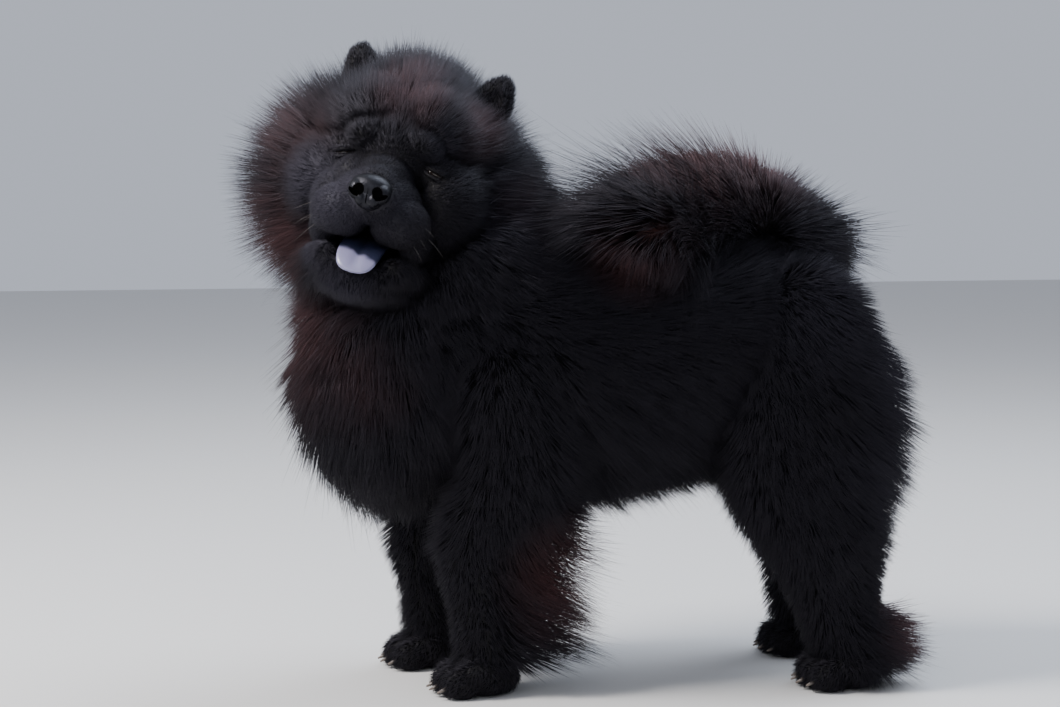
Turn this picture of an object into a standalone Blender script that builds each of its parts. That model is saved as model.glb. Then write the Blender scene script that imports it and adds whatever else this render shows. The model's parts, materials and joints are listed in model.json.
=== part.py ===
"""Life-size model of a black chow chow, standing, with its head turned to its left.

Metres, +X the way the body faces, +Y the dog's left, +Z up. The dog is one organic body
parted at the places where a person names its parts, with a thin gap at each seam. Each
coated part is a dense core that carries flat locks, rooted in it and lying with the coat."""

import math
import random

import bmesh
import bpy
from mathutils import Euler, Matrix, Vector
from mathutils.bvhtree import BVHTree

# Gap at each seam, gap round each lock, and the coat's depth over the flesh of each part
SEAM_GAP = 0.0005
LOCK_GAP = 0.0003
COAT_BODY = 0.042
COAT_NECK = 0.058
COAT_LEG = 0.022
COAT_TAIL = 0.055
CORE_SHARE = 0.5

# Place and turn of the head, whose own axes have +X along the muzzle and zero between the eyes
EYE_LINE = Vector((0.276, 0.080, 0.556))
HEAD_TURN = 71.5
HEAD_NOD = -3.0
HEAD_TILT = -13.5
EYE_RADIUS = 0.0125
EYE_SPREAD = 0.049
EYE_DEPTH = -0.004
EYE_SLANT = -14.0
RUFF_MIDDLE = Vector((-0.070, 0, -0.018))
RUFF_CORE = (0.045, 0.114, 0.104)
FACE_RADIUS = 0.078

# Stations of each soft form: x, y, z of the centre, then the flesh's half sizes along x, y, z
HIP_Y = 0.022
TORSO = [
    (0.225, 0.000, 0.365, 0.045, 0.070, 0.085),
    (0.160, 0.000, 0.352, 0.060, 0.102, 0.122),
    (0.080, 0.002, 0.347, 0.060, 0.112, 0.120),
    (-0.020, 0.008, 0.354, 0.060, 0.108, 0.108),
    (-0.110, 0.015, 0.364, 0.060, 0.098, 0.100),
    (-0.180, HIP_Y, 0.372, 0.050, 0.092, 0.090),
    (-0.218, HIP_Y, 0.374, 0.032, 0.070, 0.066),
]
NECK = [
    (0.160, 0.000, 0.400, 0.075, 0.085, 0.085),
    (0.190, -0.012, 0.455, 0.072, 0.070, 0.075),
    (0.215, -0.038, 0.510, 0.062, 0.048, 0.062),
]
BREAST = (0.255, 0.000, 0.350, 0.070, 0.062, 0.085)
TAIL = [
    (-0.190, HIP_Y, 0.430, 0.030, 0.030, 0.030),
    (-0.165, 0.028, 0.482, 0.028, 0.028, 0.028),
    (-0.110, 0.040, 0.506, 0.028, 0.028, 0.026),
    (-0.045, 0.062, 0.502, 0.026, 0.026, 0.024),
    (0.005, 0.100, 0.478, 0.022, 0.022, 0.022),
]
TAIL_HUB = Vector((-0.110, 0.050, 0.455))

# Where each foot stands: x, y, and the side of the body it is on
FEET = {
    "front_left": (0.174, 0.072, 1),
    "front_right": (0.203, -0.080, -1),
    "hind_left": (-0.212, 0.118, 1),
    "hind_right": (-0.226, -0.062, -1),
}
PAW_TOP = 0.020

# Locks: distance between roots, length, half width, thickness, height of the tip over the
# core, angle at the root in degrees, and how straight the lock is, from 0, lying, to 1, standing
HEAD_LOCKS = dict(spacing=0.036, length=0.092, width=0.032, thick=0.015, rise=0.052, lift=26, straight=0.70)
NECK_LOCKS = dict(spacing=0.051, length=0.112, width=0.031, thick=0.016, rise=0.040, lift=28, straight=0.35)
BODY_LOCKS = dict(spacing=0.062, length=0.112, width=0.036, thick=0.014, rise=0.027, lift=22, straight=0.15)
TAIL_LOCKS = dict(spacing=0.046, length=0.110, width=0.027, thick=0.014, rise=0.050, lift=30, straight=0.65)
THIGH_LOCKS = dict(spacing=0.054, length=0.100, width=0.031, thick=0.014, rise=0.032, lift=24, straight=0.30)
FEATHER_LOCKS = dict(spacing=0.040, length=0.090, width=0.021,
                     thick=0.012, rise=0.050, lift=35, straight=0.60)

# Where a lock bends, how deep and how narrow its root is, and how far each differs from the next
LOCK_RINGS = (0.30, 0.66)
LOCK_SINK = 0.011
LOCK_ROOT = 0.18
LIE_BEND = 0.35
LOCK_VARIES = 0.15
LOCK_STRAYS = 10.0

# What is tried to keep a lock clear: steps up in degrees and in height, then a shorter lock
LOCK_TRIES = 5
LOCK_RAISE = 12.0
RISE_STEP = 0.25
LOCK_SHORTER = (1.0, 0.68)
LAYOUT_TRIES = 6
ROOT_TRIES = 30
SEAM_MARGIN = 0.004
FLOOR_CLEAR = 0.012
WELD = 3e-6

BLACK_COAT = (0.020, 0.018, 0.020)
NOSE_BLACK = (0.010, 0.010, 0.011)
TONGUE_BLUE = (0.050, 0.050, 0.080)
EYE_BROWN = (0.015, 0.009, 0.006)


def clear_scene():
    for obj in list(bpy.data.objects):
        bpy.data.objects.remove(obj, do_unlink=True)


def finish(name, colour, roughness):
    """A plain material of that colour."""
    material = bpy.data.materials.new(name)
    material.use_nodes = True
    shader = material.node_tree.nodes["Principled BSDF"]
    shader.inputs["Base Color"].default_value = (*colour, 1)
    shader.inputs["Roughness"].default_value = roughness
    return material


def object_of(bm, name):
    """The bmesh as an object of the dog's collection."""
    mesh = bpy.data.meshes.new(name)
    bm.to_mesh(mesh)
    bm.free()
    obj = bpy.data.objects.new(name, mesh)
    DOG.objects.link(obj)
    return obj


def apply_modifiers(obj):
    """The object with its modifiers made part of its mesh."""
    bpy.context.view_layer.update()
    evaluated = obj.evaluated_get(bpy.context.evaluated_depsgraph_get())
    mesh = bpy.data.meshes.new_from_object(evaluated)
    obj.modifiers.clear()
    obj.data = mesh
    return obj


def add_ball(bm, centre, radii, place=Matrix()):
    """A closed ellipsoid in bm."""
    matrix = place @ Matrix.Translation(centre) @ Matrix.Diagonal((*radii, 1))
    bmesh.ops.create_uvsphere(bm, u_segments=20, v_segments=12, radius=1, matrix=matrix)


def soft_form(name, bm, voxel, rounds, triangles):
    """The closed shapes in bm grown together into one smooth skin of about that many triangles."""
    obj = object_of(bm, name)
    remesh = obj.modifiers.new("grow together", "REMESH")
    remesh.mode = "VOXEL"
    remesh.voxel_size = voxel
    apply_modifiers(obj)
    relax = obj.modifiers.new("relax", "SMOOTH")
    relax.factor = 0.5
    relax.iterations = rounds
    apply_modifiers(obj)
    thin = obj.modifiers.new("fewer faces", "DECIMATE")
    thin.ratio = min(1.0, triangles / (2 * len(obj.data.polygons)))
    return apply_modifiers(obj)


def along_curve(stations, steps):
    """Stations read from a smooth curve through the given ones, with that many steps between two."""
    points = [Vector(s) for s in stations]
    found = []
    for i in range(len(points) - 1):
        before = points[max(i - 1, 0)]
        start, end = points[i], points[i + 1]
        after = points[min(i + 2, len(points) - 1)]
        for k in range(steps):
            t = k / steps
            found.append(
                0.5 * (2 * start + (end - before) * t
                       + (2 * before - 5 * start + 4 * end - after) * t * t
                       + (3 * start - before - 3 * end + after) * t ** 3)
            )
    return found + [points[-1]]


def body_form(name, stations, grow, triangles):
    """A body form: ellipsoids along a smooth line of stations, each larger by grow on every side."""
    bm = bmesh.new()
    for station in along_curve(stations, 6):
        add_ball(bm, station[:3], [half + grow for half in station[3:6]])
    form = soft_form(name, bm, 0.008, 4, triangles)
    BODY.from_mesh(form.data)
    return form


def clearance_of(mesh, gap):
    """An object whose faces lie that gap outside those of the mesh."""
    bm = bmesh.new()
    bm.from_mesh(mesh)
    bm.normal_update()
    moves = [v.normal * gap * min(v.calc_shell_factor(), 3) for v in bm.verts]
    for vert, move in zip(bm.verts, moves):
        vert.co += move
    return object_of(bm, "clearance")


def boolean(obj, others, operation):
    """obj joined with, or cut by, the other closed mesh objects, which are then removed."""
    group = bpy.data.collections.new(obj.name + "_tools")
    bpy.context.scene.collection.children.link(group)
    for other in others:
        for owner in list(other.users_collection):
            owner.objects.unlink(other)
        group.objects.link(other)
    step = obj.modifiers.new("boolean", "BOOLEAN")
    step.operation = operation
    step.solver = "MANIFOLD"
    step.operand_type = "COLLECTION"
    step.collection = group
    apply_modifiers(obj)
    for other in list(group.objects):
        bpy.data.objects.remove(other, do_unlink=True)
    bpy.data.collections.remove(group)
    return keep_largest(obj)


def keep_largest(obj):
    """obj with only its largest closed surface."""
    bm = bmesh.new()
    bm.from_mesh(obj.data)
    left = set(bm.verts)
    shells = []
    while left:
        shell, front = set(), [left.pop()]
        while front:
            vert = front.pop()
            shell.add(vert)
            for edge in vert.link_edges:
                other = edge.other_vert(vert)
                if other in left:
                    left.discard(other)
                    front.append(other)
        shells.append(shell)
    shells.sort(key=lambda shell: -sum(f.calc_area() for v in shell for f in v.link_faces))
    bmesh.ops.delete(bm, geom=[v for shell in shells[1:] for v in shell], context="VERTS")
    bm.to_mesh(obj.data)
    bm.free()
    return obj


def cut_clear(obj, others, gap=SEAM_GAP):
    """obj cut back to keep the gap to the other meshes."""
    return boolean(obj, [clearance_of(other, gap) for other in others], "DIFFERENCE")


def cut_below(obj, height):
    """obj with all below that height taken off and the cut closed flat."""
    bm = bmesh.new()
    bm.from_mesh(obj.data)
    cut = bmesh.ops.bisect_plane(
        bm, geom=bm.verts[:] + bm.edges[:] + bm.faces[:], dist=1e-6,
        plane_co=(0, 0, height), plane_no=(0, 0, -1), clear_outer=True,
    )
    rim = [e for e in cut["geom_cut"] if isinstance(e, bmesh.types.BMEdge)]
    bmesh.ops.holes_fill(bm, edges=rim)
    bmesh.ops.triangulate(bm, faces=bm.faces[:])
    bm.to_mesh(obj.data)
    bm.free()
    return obj


# Locks

def lock_blank():
    """A straight three-sided lock of unit length, root at zero, ringed where it bends."""
    bm = bmesh.new()
    bmesh.ops.create_cone(
        bm, cap_ends=True, segments=3, radius1=1, radius2=0, depth=1,
        matrix=Matrix.Translation((0, 0, 0.5)),
    )
    bmesh.ops.remove_doubles(bm, verts=bm.verts[:], dist=1e-5)
    for height in LOCK_RINGS:
        bmesh.ops.bisect_plane(
            bm, geom=bm.verts[:] + bm.edges[:] + bm.faces[:],
            plane_co=(0, 0, height), plane_no=(0, 0, 1),
        )
    bmesh.ops.triangulate(bm, faces=bm.faces[:])
    mesh = bpy.data.meshes.new("lock_blank")
    bm.to_mesh(mesh)
    bm.free()
    return mesh


def surface_of(*meshes):
    """One search tree over the faces of these meshes."""
    bm = bmesh.new()
    for mesh in meshes:
        bm.from_mesh(mesh)
    tree = BVHTree.FromBMesh(bm)
    bm.free()
    return tree


def spread_roots(obj, spacing, draw, grows_at, seams):
    """Points and normals spread evenly over obj where the coat grows, clear of its seams."""
    mesh = obj.data
    mesh.calc_loop_triangles()
    areas = [t.area for t in mesh.loop_triangles]
    tries = int(ROOT_TRIES * sum(areas) / spacing ** 2)
    roots = []
    for triangle in draw.choices(mesh.loop_triangles, weights=areas, k=tries):
        a, b = sorted((draw.random(), draw.random()))
        shares = (a, b - a, 1 - b)
        corners = [mesh.vertices[i] for i in triangle.vertices]
        point = sum((v.co * s for v, s in zip(corners, shares)), Vector())
        normal = sum((v.normal * s for v, s in zip(corners, shares)), Vector()).normalized()
        if any((point - other).length < spacing for other, _ in roots):
            continue
        if grows_at(point, normal) and seams.find_nearest(point)[3] > SEAM_MARGIN:
            roots.append((point, normal))
    return roots


def along_surface(way, normal):
    """The part of way that lies along the surface with that normal."""
    return (way - normal * way.dot(normal)).normalized()


def lock_line(root, normal, lie_at, length, rise, lift, straight):
    """Points of a lock from its sunk root, up out of the core and along the lie to its tip."""
    stops = [0.0, *LOCK_RINGS, 1.0]
    way = along_surface(lie_at(root, normal), normal)
    way = way * math.cos(lift) + normal * math.sin(lift)
    place = root - normal * LOCK_SINK
    line = [place]
    normals = [normal]
    for before, stop in zip(stops, stops[1:]):
        step = length * (stop - before)
        near, out, _, _ = BODY_SURFACE.find_nearest(place + along_surface(way, normal) * step)
        lying = near + out * rise * stop - place
        way = (lying.normalized() * (1 - straight) + way * straight).normalized()
        place = place + way * step
        near, normal, _, _ = BODY_SURFACE.find_nearest(place)
        bend = along_surface(lie_at(place, normal), normal)
        way = (way + LIE_BEND * (1 - straight) * bend).normalized()
        line.append(place)
        normals.append(out)
    return line, normals


def lock_shape(bm, line, normals, width, thick):
    """A flat tapered lock along that line, bent from the blank."""
    stops = [0.0, *LOCK_RINGS, 1.0]
    bm.from_mesh(LOCK_BLANK)
    frames = []
    for k, place in enumerate(line):
        along = (line[min(k + 1, len(line) - 1)] - line[max(k - 1, 0)]).normalized()
        side = along.cross(normals[k]).normalized()
        frames.append((place, side, side.cross(along)))
    for vert in bm.verts:
        height = vert.co.z
        k = min(range(len(stops)), key=lambda i: abs(stops[i] - height))
        place, side, up = frames[k]
        if k == len(stops) - 1:
            vert.co = place
            continue
        fullness = math.sin(math.pi * (LOCK_ROOT + (1 - LOCK_ROOT) * stops[k])) / (1 - height)
        # The blank's section is three-sided: its half width is cos 30 degrees, its depth 1.5
        across, out = vert.co.x / math.cos(math.pi / 6), vert.co.y / 1.5
        vert.co = place + side * (across * width * fullness) + up * (out * thick * fullness)
    if bm.calc_volume(signed=True) < 0:
        bmesh.ops.reverse_faces(bm, faces=bm.faces[:])


def grow_lock(root, normal, lie_at, sizes, draw, taken):
    """A lock from that root, raised and then shortened until clear of the other parts, or None."""
    varied = 1 + draw.uniform(-LOCK_VARIES, LOCK_VARIES)
    stray = Matrix.Rotation(math.radians(draw.uniform(-LOCK_STRAYS, LOCK_STRAYS)), 3, normal)
    for shorter in LOCK_SHORTER:
        size = varied * shorter
        for k in range(LOCK_TRIES):
            line, normals = lock_line(
                root, normal, lambda p, n: stray @ lie_at(p, n), sizes["length"] * size,
                sizes["rise"] * shorter * (1 + RISE_STEP * k),
                math.radians(sizes["lift"] + LOCK_RAISE * k), sizes["straight"],
            )
            if min(p.z for p in line) < FLOOR_CLEAR:
                continue
            longer = line[:-1] + [line[-1] + (line[-1] - line[-2]).normalized() * LOCK_GAP]
            bm = bmesh.new()
            lock_shape(bm, longer, normals, sizes["width"] * size + LOCK_GAP, sizes["thick"] + 2 * LOCK_GAP)
            tree = BVHTree.FromBMesh(bm)
            bm.free()
            if not any(tree.overlap(other) for other in taken):
                bm = bmesh.new()
                lock_shape(bm, line, normals, sizes["width"] * size, sizes["thick"])
                return bm
    return None


def without_slivers(mesh):
    """The mesh with its closest points made one, or None where that would open or pinch it."""
    bm = bmesh.new()
    bm.from_mesh(mesh)
    bmesh.ops.dissolve_degenerate(bm, dist=WELD, edges=bm.edges[:])
    bmesh.ops.remove_doubles(bm, verts=bm.verts[:], dist=WELD)
    bmesh.ops.triangulate(bm, faces=bm.faces[:])
    sound = all(len(edge.link_faces) == 2 for edge in bm.edges)
    clean = bpy.data.meshes.new(mesh.name)
    bm.to_mesh(clean)
    bm.free()
    return clean if sound else None


def with_locks(core, sizes, lie_at, grows_at, others, taken):
    """The core joined with locks where its coat grows, each rooted in it and clear of the others."""
    seams = surface_of(*others)
    bare = core.data
    for k in range(LAYOUT_TRIES):
        draw = random.Random(f"{core.name} {k}")
        core.data = bare.copy()
        locks = []
        for root, normal in spread_roots(core, sizes["spacing"], draw, grows_at, seams):
            bm = grow_lock(root, normal, lie_at, sizes, draw, [seams, *taken])
            if bm:
                locks.append(object_of(bm, core.name + "_lock"))
        surface = surface_of(*(lock.data for lock in locks))
        keep_largest(boolean(core, locks, "UNION"))
        clean = without_slivers(core.data)
        if clean:
            core.data = clean
            break
    taken.append(surface)
    return core


# Head

def head_place():
    """From the head's own axes to the dog's."""
    turn = Matrix.Rotation(math.radians(HEAD_TURN), 4, "Z")
    nod = Matrix.Rotation(math.radians(HEAD_NOD), 4, "Y")
    tilt = Matrix.Rotation(math.radians(HEAD_TILT), 4, "X")
    return Matrix.Translation(EYE_LINE) @ turn @ nod @ tilt


def head_ball(bm, centre, radii, turn=(0, 0, 0)):
    """An ellipsoid given in the head's own axes, with its turn in degrees."""
    turned = Euler([math.radians(a) for a in turn]).to_matrix().to_4x4()
    add_ball(bm, (0, 0, 0), radii, HEAD @ Matrix.Translation(centre) @ turned)


def head_tube(name, points, radii):
    """A bent tube through points in the head's own axes, thinner towards its ends, as a mesh."""
    curve = bpy.data.curves.new(name, "CURVE")
    curve.dimensions = "3D"
    curve.bevel_depth = 1
    curve.bevel_resolution = 0
    curve.use_fill_caps = True
    spline = curve.splines.new("POLY")
    spline.points.add(len(points) - 1)
    for point, co, radius in zip(spline.points, points, radii):
        point.co = (*(HEAD @ Vector(co)), 1)
        point.radius = radius
    guide = bpy.data.objects.new(name, curve)
    DOG.objects.link(guide)
    bpy.context.view_layer.update()
    mesh = bpy.data.meshes.new_from_object(guide.evaluated_get(bpy.context.evaluated_depsgraph_get()))
    bpy.data.objects.remove(guide, do_unlink=True)
    bm = bmesh.new()
    bm.from_mesh(mesh)
    bmesh.ops.remove_doubles(bm, verts=bm.verts[:], dist=1e-5)
    bmesh.ops.recalc_face_normals(bm, faces=bm.faces[:])
    bmesh.ops.triangulate(bm, faces=bm.faces[:])
    return object_of(bm, name)


def make_lid(side, upper):
    """One lid: a tapered roll bent round the front of the eye from its inner to its outer corner."""
    centre = Vector((EYE_DEPTH, EYE_SPREAD * side, 0))
    slant = Matrix.Rotation(math.radians(EYE_SLANT * side), 3, "X")
    points, radii = [], []
    for k in range(7):
        t = k / 6
        turn = math.radians(-78 + 156 * t)
        open_by = 0.0068 * math.sin(math.pi * t) ** 0.7
        reach = EYE_RADIUS - 0.0005
        offset = Vector((
            reach * math.cos(turn) * 0.98,
            reach * 1.12 * math.sin(turn) * side,
            open_by * upper,
        ))
        points.append(centre + slant @ offset)
        radii.append(0.0026 + 0.0026 * math.sin(math.pi * t))
    return head_tube("lid", points, radii)


def make_head():
    """Skull, muzzle, lips, brows and lids, inside the core of the crown and the ruff."""
    bm = bmesh.new()
    head_ball(bm, RUFF_MIDDLE, RUFF_CORE)
    head_ball(bm, (-0.060, 0, 0.014), (0.074, 0.080, 0.076))
    head_ball(bm, (-0.012, 0, 0.016), (0.030, 0.050, 0.038))
    head_ball(bm, (0.026, 0, -0.038), (0.046, 0.048, 0.032))
    head_ball(bm, (0.048, 0, -0.042), (0.026, 0.040, 0.028))
    for side in (1, -1):
        head_ball(bm, (0.000, 0.034 * side, 0.024), (0.020, 0.024, 0.014), (-16 * side, 0, 0))
        head_ball(bm, (-0.014, 0.066 * side, -0.030), (0.034, 0.032, 0.042))
        head_ball(bm, (-0.004, EYE_SPREAD * side, -0.002), (0.011, 0.021, 0.017))
        head_ball(bm, (0.042, 0.032 * side, -0.055), (0.032, 0.032, 0.024))
        head_ball(bm, (0.014, 0.054 * side, -0.070), (0.032, 0.018, 0.022))
    head = soft_form("head", bm, 0.0042, 3, 1350)
    BODY.from_mesh(head.data)
    lids = [make_lid(side, upper) for side in (1, -1) for upper in (1, -1)]
    boolean(head, lids, "UNION")
    bm = bmesh.new()
    head_ball(bm, (0.080, 0, -0.066), (0.012, 0.0016, 0.018))
    return cut_in(head, bm)


def cut_in(obj, bm):
    """obj with the closed shapes in bm taken out of it."""
    return boolean(obj, [object_of(bm, obj.name + "_cutter")], "DIFFERENCE")


def make_jaw():
    """The lower jaw, with the chin's fur, as wide as the mouth's corners."""
    bm = bmesh.new()
    head_ball(bm, (0.002, 0, -0.120), (0.050, 0.058, 0.026))
    head_ball(bm, (0.034, 0, -0.124), (0.030, 0.044, 0.020))
    for side in (1, -1):
        head_ball(bm, (0.012, 0.046 * side, -0.106), (0.034, 0.016, 0.016))
        head_ball(bm, (0.048, 0.020 * side, -0.112), (0.014, 0.022, 0.010))
    return soft_form("lower_jaw", bm, 0.004, 2, 300)


def make_tongue():
    bm = bmesh.new()
    head_ball(bm, (0.030, 0, -0.098), (0.036, 0.024, 0.006))
    head_ball(bm, (0.062, 0, -0.104), (0.010, 0.025, 0.013))
    return soft_form("tongue", bm, 0.003, 2, 110)


def plain_ball(name, centre, radii, turn=(0, 0, 0), rings=10):
    """A ball in the head's own axes, as an object of its own."""
    bm = bmesh.new()
    turned = Euler([math.radians(a) for a in turn]).to_matrix().to_4x4()
    matrix = HEAD @ Matrix.Translation(centre) @ turned @ Matrix.Diagonal((*radii, 1))
    bmesh.ops.create_uvsphere(bm, u_segments=2 * rings - 4, v_segments=rings, radius=1, matrix=matrix)
    bmesh.ops.triangulate(bm, faces=bm.faces[:])
    return object_of(bm, name)


def make_nose():
    """The broad nose, with a comma-shaped nostril each side and the cleft between them."""
    nose = plain_ball("nose", (0.070, 0, -0.031), (0.017, 0.0225, 0.0180), rings=9)
    holes = [plain_ball("cleft", (0.090, 0, -0.046), (0.007, 0.0011, 0.014), rings=5)]
    for side in (1, -1):
        for x, y, z, radii in ((0.087, 0.0095, -0.030, (0.008, 0.0044, 0.0056)),
                               (0.083, 0.0155, -0.035, (0.008, 0.0056, 0.0028))):
            holes.append(plain_ball("nostril", (x, y * side, z), radii, (20 * side, 0, 0), rings=5))
    return boolean(nose, holes, "DIFFERENCE")


def make_eye(name, side):
    return plain_ball(name, (EYE_DEPTH, EYE_SPREAD * side, 0), (EYE_RADIUS,) * 3, rings=7)


def make_ear(name, side):
    """A small thick rounded ear, cupped towards the front."""
    middle = Vector((-0.082, 0.066 * side + 0.005, 0.070))
    turn = (-20 * side, 0, 10 * side)
    ear = plain_ball(name, middle, (0.016, 0.029, 0.052), turn, rings=8)
    cup = middle + Vector((0.018, 0.002 * side, 0.006))
    return boolean(ear, [plain_ball("cup", cup, (0.012, 0.019, 0.036), turn, rings=6)], "DIFFERENCE")


# The way the coat lies on each part

def head_lie(point, normal):
    """Out from the face all round, and back."""
    away = HEAD.inverted() @ point - RUFF_MIDDLE
    out = Vector((0, away.y, away.z)).normalized()
    return HEAD.to_3x3() @ (out - Vector((0.45, 0, 0)))


def head_grows(point, normal):
    """Crown, cheeks and ruff, and not the face or the ears' fronts."""
    own = HEAD.inverted() @ point
    by_ear = 0.030 < abs(own.y) < 0.085 and own.z > 0.030 and own.x > -0.085
    return -0.125 < own.x < -0.010 and math.hypot(own.y, own.z + 0.018) > FACE_RADIUS and not by_ear


def neck_lie(point, normal):
    """Away from the head, then down over the breast and back over the shoulders."""
    away = (point - HEAD @ RUFF_MIDDLE).normalized()
    return away + Vector((-0.15, 0, -0.75))


def neck_grows(point, normal):
    return normal.z < 0.92


def body_lie(point, normal):
    """Back along the top, back and down on the flanks, down over the rump."""
    return Vector((-1.0 + 0.7 * max(0, -normal.x), 0, -0.45 - 0.8 * max(0, -normal.x)))


def body_grows(point, normal):
    return point.x < 0.20


def tail_lie(point, normal):
    """Along the tail, and out from the middle of its curl."""
    away = point - TAIL_HUB
    away.y *= 0.5
    return away.normalized() + Vector((0.30, 0.10, 0.10))


def tail_grows(point, normal):
    return point.z > 0.435


def thigh_lie(point, normal):
    """Down and back, more back along the breeches."""
    return Vector((-0.55, 0, -0.90))


def thigh_grows(point, normal):
    return point.z > 0.160 or normal.x < -0.25


def foreleg_lie(point, normal):
    return Vector((-0.85, 0, -0.60))


def foreleg_grows(point, normal):
    """The feathering down the back of the leg, and the shoulder."""
    return normal.x < -0.35 and point.z > 0.065 or point.z > 0.27


# Legs and paws

def front_leg(side, foot_x, foot_y):
    return [
        (0.150, 0.080 * side, 0.320, 0.055, 0.040, 0.070),
        (0.142, 0.084 * side, 0.240, 0.052, 0.036, 0.050),
        (foot_x + 0.005, 0.9 * foot_y + 0.008 * side, 0.160, 0.040, 0.031, 0.040),
        (foot_x + 0.004, foot_y, 0.090, 0.030, 0.027, 0.030),
        (foot_x + 0.001, foot_y, 0.040, 0.028, 0.027, 0.030),
    ]


def hind_leg(side, foot_x, foot_y):
    return [
        (-0.165, HIP_Y + 0.062 * side, 0.370, 0.066, 0.042, 0.075),
        (-0.174, HIP_Y + 0.076 * side, 0.300, 0.086, 0.044, 0.065),
        (-0.172, HIP_Y + 0.084 * side, 0.225, 0.080, 0.042, 0.050),
        (foot_x + 0.030, 0.8 * foot_y + 0.2 * HIP_Y + 0.018 * side, 0.160, 0.055, 0.034, 0.040),
        (foot_x + 0.018, foot_y, 0.110, 0.043, 0.029, 0.032),
        (foot_x + 0.004, foot_y, 0.045, 0.032, 0.027, 0.030),
    ]


def make_paw(name, foot_x, foot_y):
    """A round cat-like paw with four toes and a short claw on each, cut flat at the floor."""
    bm = bmesh.new()
    add_ball(bm, (foot_x + 0.004, foot_y, 0.018), (0.040, 0.036, 0.026))
    toes = []
    for k in (-1.5, -0.5, 0.5, 1.5):
        toe = Vector((foot_x + 0.040 - 0.006 * abs(k), foot_y + 0.0175 * k, 0.014))
        add_ball(bm, toe, (0.022, 0.0115, 0.020))
        toes.append(toe)
    paw = soft_form(name, bm, 0.004, 2, 190)
    claws = []
    for toe in toes:
        bm = bmesh.new()
        tilt = Matrix.Rotation(math.radians(108), 4, "Y")
        bmesh.ops.create_cone(
            bm, cap_ends=True, segments=5, radius1=0.0034, radius2=0.0012, depth=0.016,
            matrix=Matrix.Translation(toe + Vector((0.021, 0, -0.003))) @ tilt,
        )
        bmesh.ops.triangulate(bm, faces=bm.faces[:])
        claws.append(object_of(bm, "claw"))
    return cut_below(boolean(paw, claws, "UNION"), 0.0)


def make_leg(name, foot_x, foot_y, side):
    """The core of a leg down to its paw."""
    stations = (front_leg if name.startswith("front") else hind_leg)(side, foot_x, foot_y)
    leg = body_form(name.replace("_", "_leg_"), stations, COAT_LEG * 0.6, 230)
    return cut_below(leg, PAW_TOP)


def stand_on_origin():
    """The whole dog moved so that the middle of its box is over the origin."""
    points = [v.co for obj in DOG.objects for v in obj.data.vertices]
    middle = [(min(p[i] for p in points) + max(p[i] for p in points)) / 2 for i in (0, 1)]
    for obj in DOG.objects:
        obj.data.transform(Matrix.Translation((-middle[0], -middle[1], 0)))


clear_scene()
DOG = bpy.data.collections.new("chow_chow")
bpy.context.scene.collection.children.link(DOG)
HEAD = head_place()
LOCK_BLANK = lock_blank()
BODY = bmesh.new()

# Cores, each cut clear of those before it
placed = []
for name, stations, depth, triangles in (
    ("torso", TORSO, COAT_BODY, 520),
    ("neck", NECK + [BREAST], COAT_NECK, 360),
    ("tail", TAIL, COAT_TAIL, 300),
):
    core = body_form(name, stations, depth * CORE_SHARE, triangles)
    placed.append(cut_clear(core, [other.data for other in placed]) if placed else core)
torso, neck, tail = placed
legs = []
for foot, (foot_x, foot_y, side) in FEET.items():
    placed.append(make_paw(foot.replace("_", "_paw_"), foot_x, foot_y))
    legs.append(cut_clear(make_leg(foot, foot_x, foot_y, side), [other.data for other in placed]))
    placed.append(legs[-1])
placed += [make_eye("eye_left", 1), make_eye("eye_right", -1)]
head = make_head()
for obj in (head, make_jaw(), make_tongue(), make_nose(), make_ear("ear_left", 1), make_ear("ear_right", -1)):
    placed.append(cut_clear(obj, [other.data for other in placed]))
CORES = {obj: obj.data for obj in placed}
BODY_SURFACE = BVHTree.FromBMesh(BODY)
BODY.free()

# Locks, on each core in turn
taken = []
for core, sizes, lie_at, grows_at in (
    (legs[0], FEATHER_LOCKS, foreleg_lie, foreleg_grows),
    (legs[1], FEATHER_LOCKS, foreleg_lie, foreleg_grows),
    (legs[2], THIGH_LOCKS, thigh_lie, thigh_grows),
    (legs[3], THIGH_LOCKS, thigh_lie, thigh_grows),
    (head, HEAD_LOCKS, head_lie, head_grows),
    (torso, BODY_LOCKS, body_lie, body_grows),
    (neck, NECK_LOCKS, neck_lie, neck_grows),
    (tail, TAIL_LOCKS, tail_lie, tail_grows),
):
    others = [mesh for obj, mesh in CORES.items() if obj is not core]
    with_locks(core, sizes, lie_at, grows_at, others, taken)

MATERIALS = {
    "eye": finish("dark eye", EYE_BROWN, 0.08),
    "nose": finish("black nose", NOSE_BLACK, 0.35),
    "tongue": finish("blue black tongue", TONGUE_BLUE, 0.35),
    "coat": finish("black coat", BLACK_COAT, 0.75),
}
for obj in DOG.objects:
    kind = obj.name.split("_")[0]
    obj.data.materials.clear()
    obj.data.materials.append(MATERIALS.get(kind, MATERIALS["coat"]))

stand_on_origin()
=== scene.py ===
"""Looks of a life-size black chow chow, standing, with its head turned to its left.

Each piece is made in the dog's own axes, with +X the way the body faces, +Y its left, +Z up
and the floor at zero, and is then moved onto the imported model's place. Metres throughout."""

import json
import math

import bmesh
import bpy
import numpy as np
from mathutils import Euler, Matrix, Vector
from mathutils.kdtree import KDTree

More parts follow.
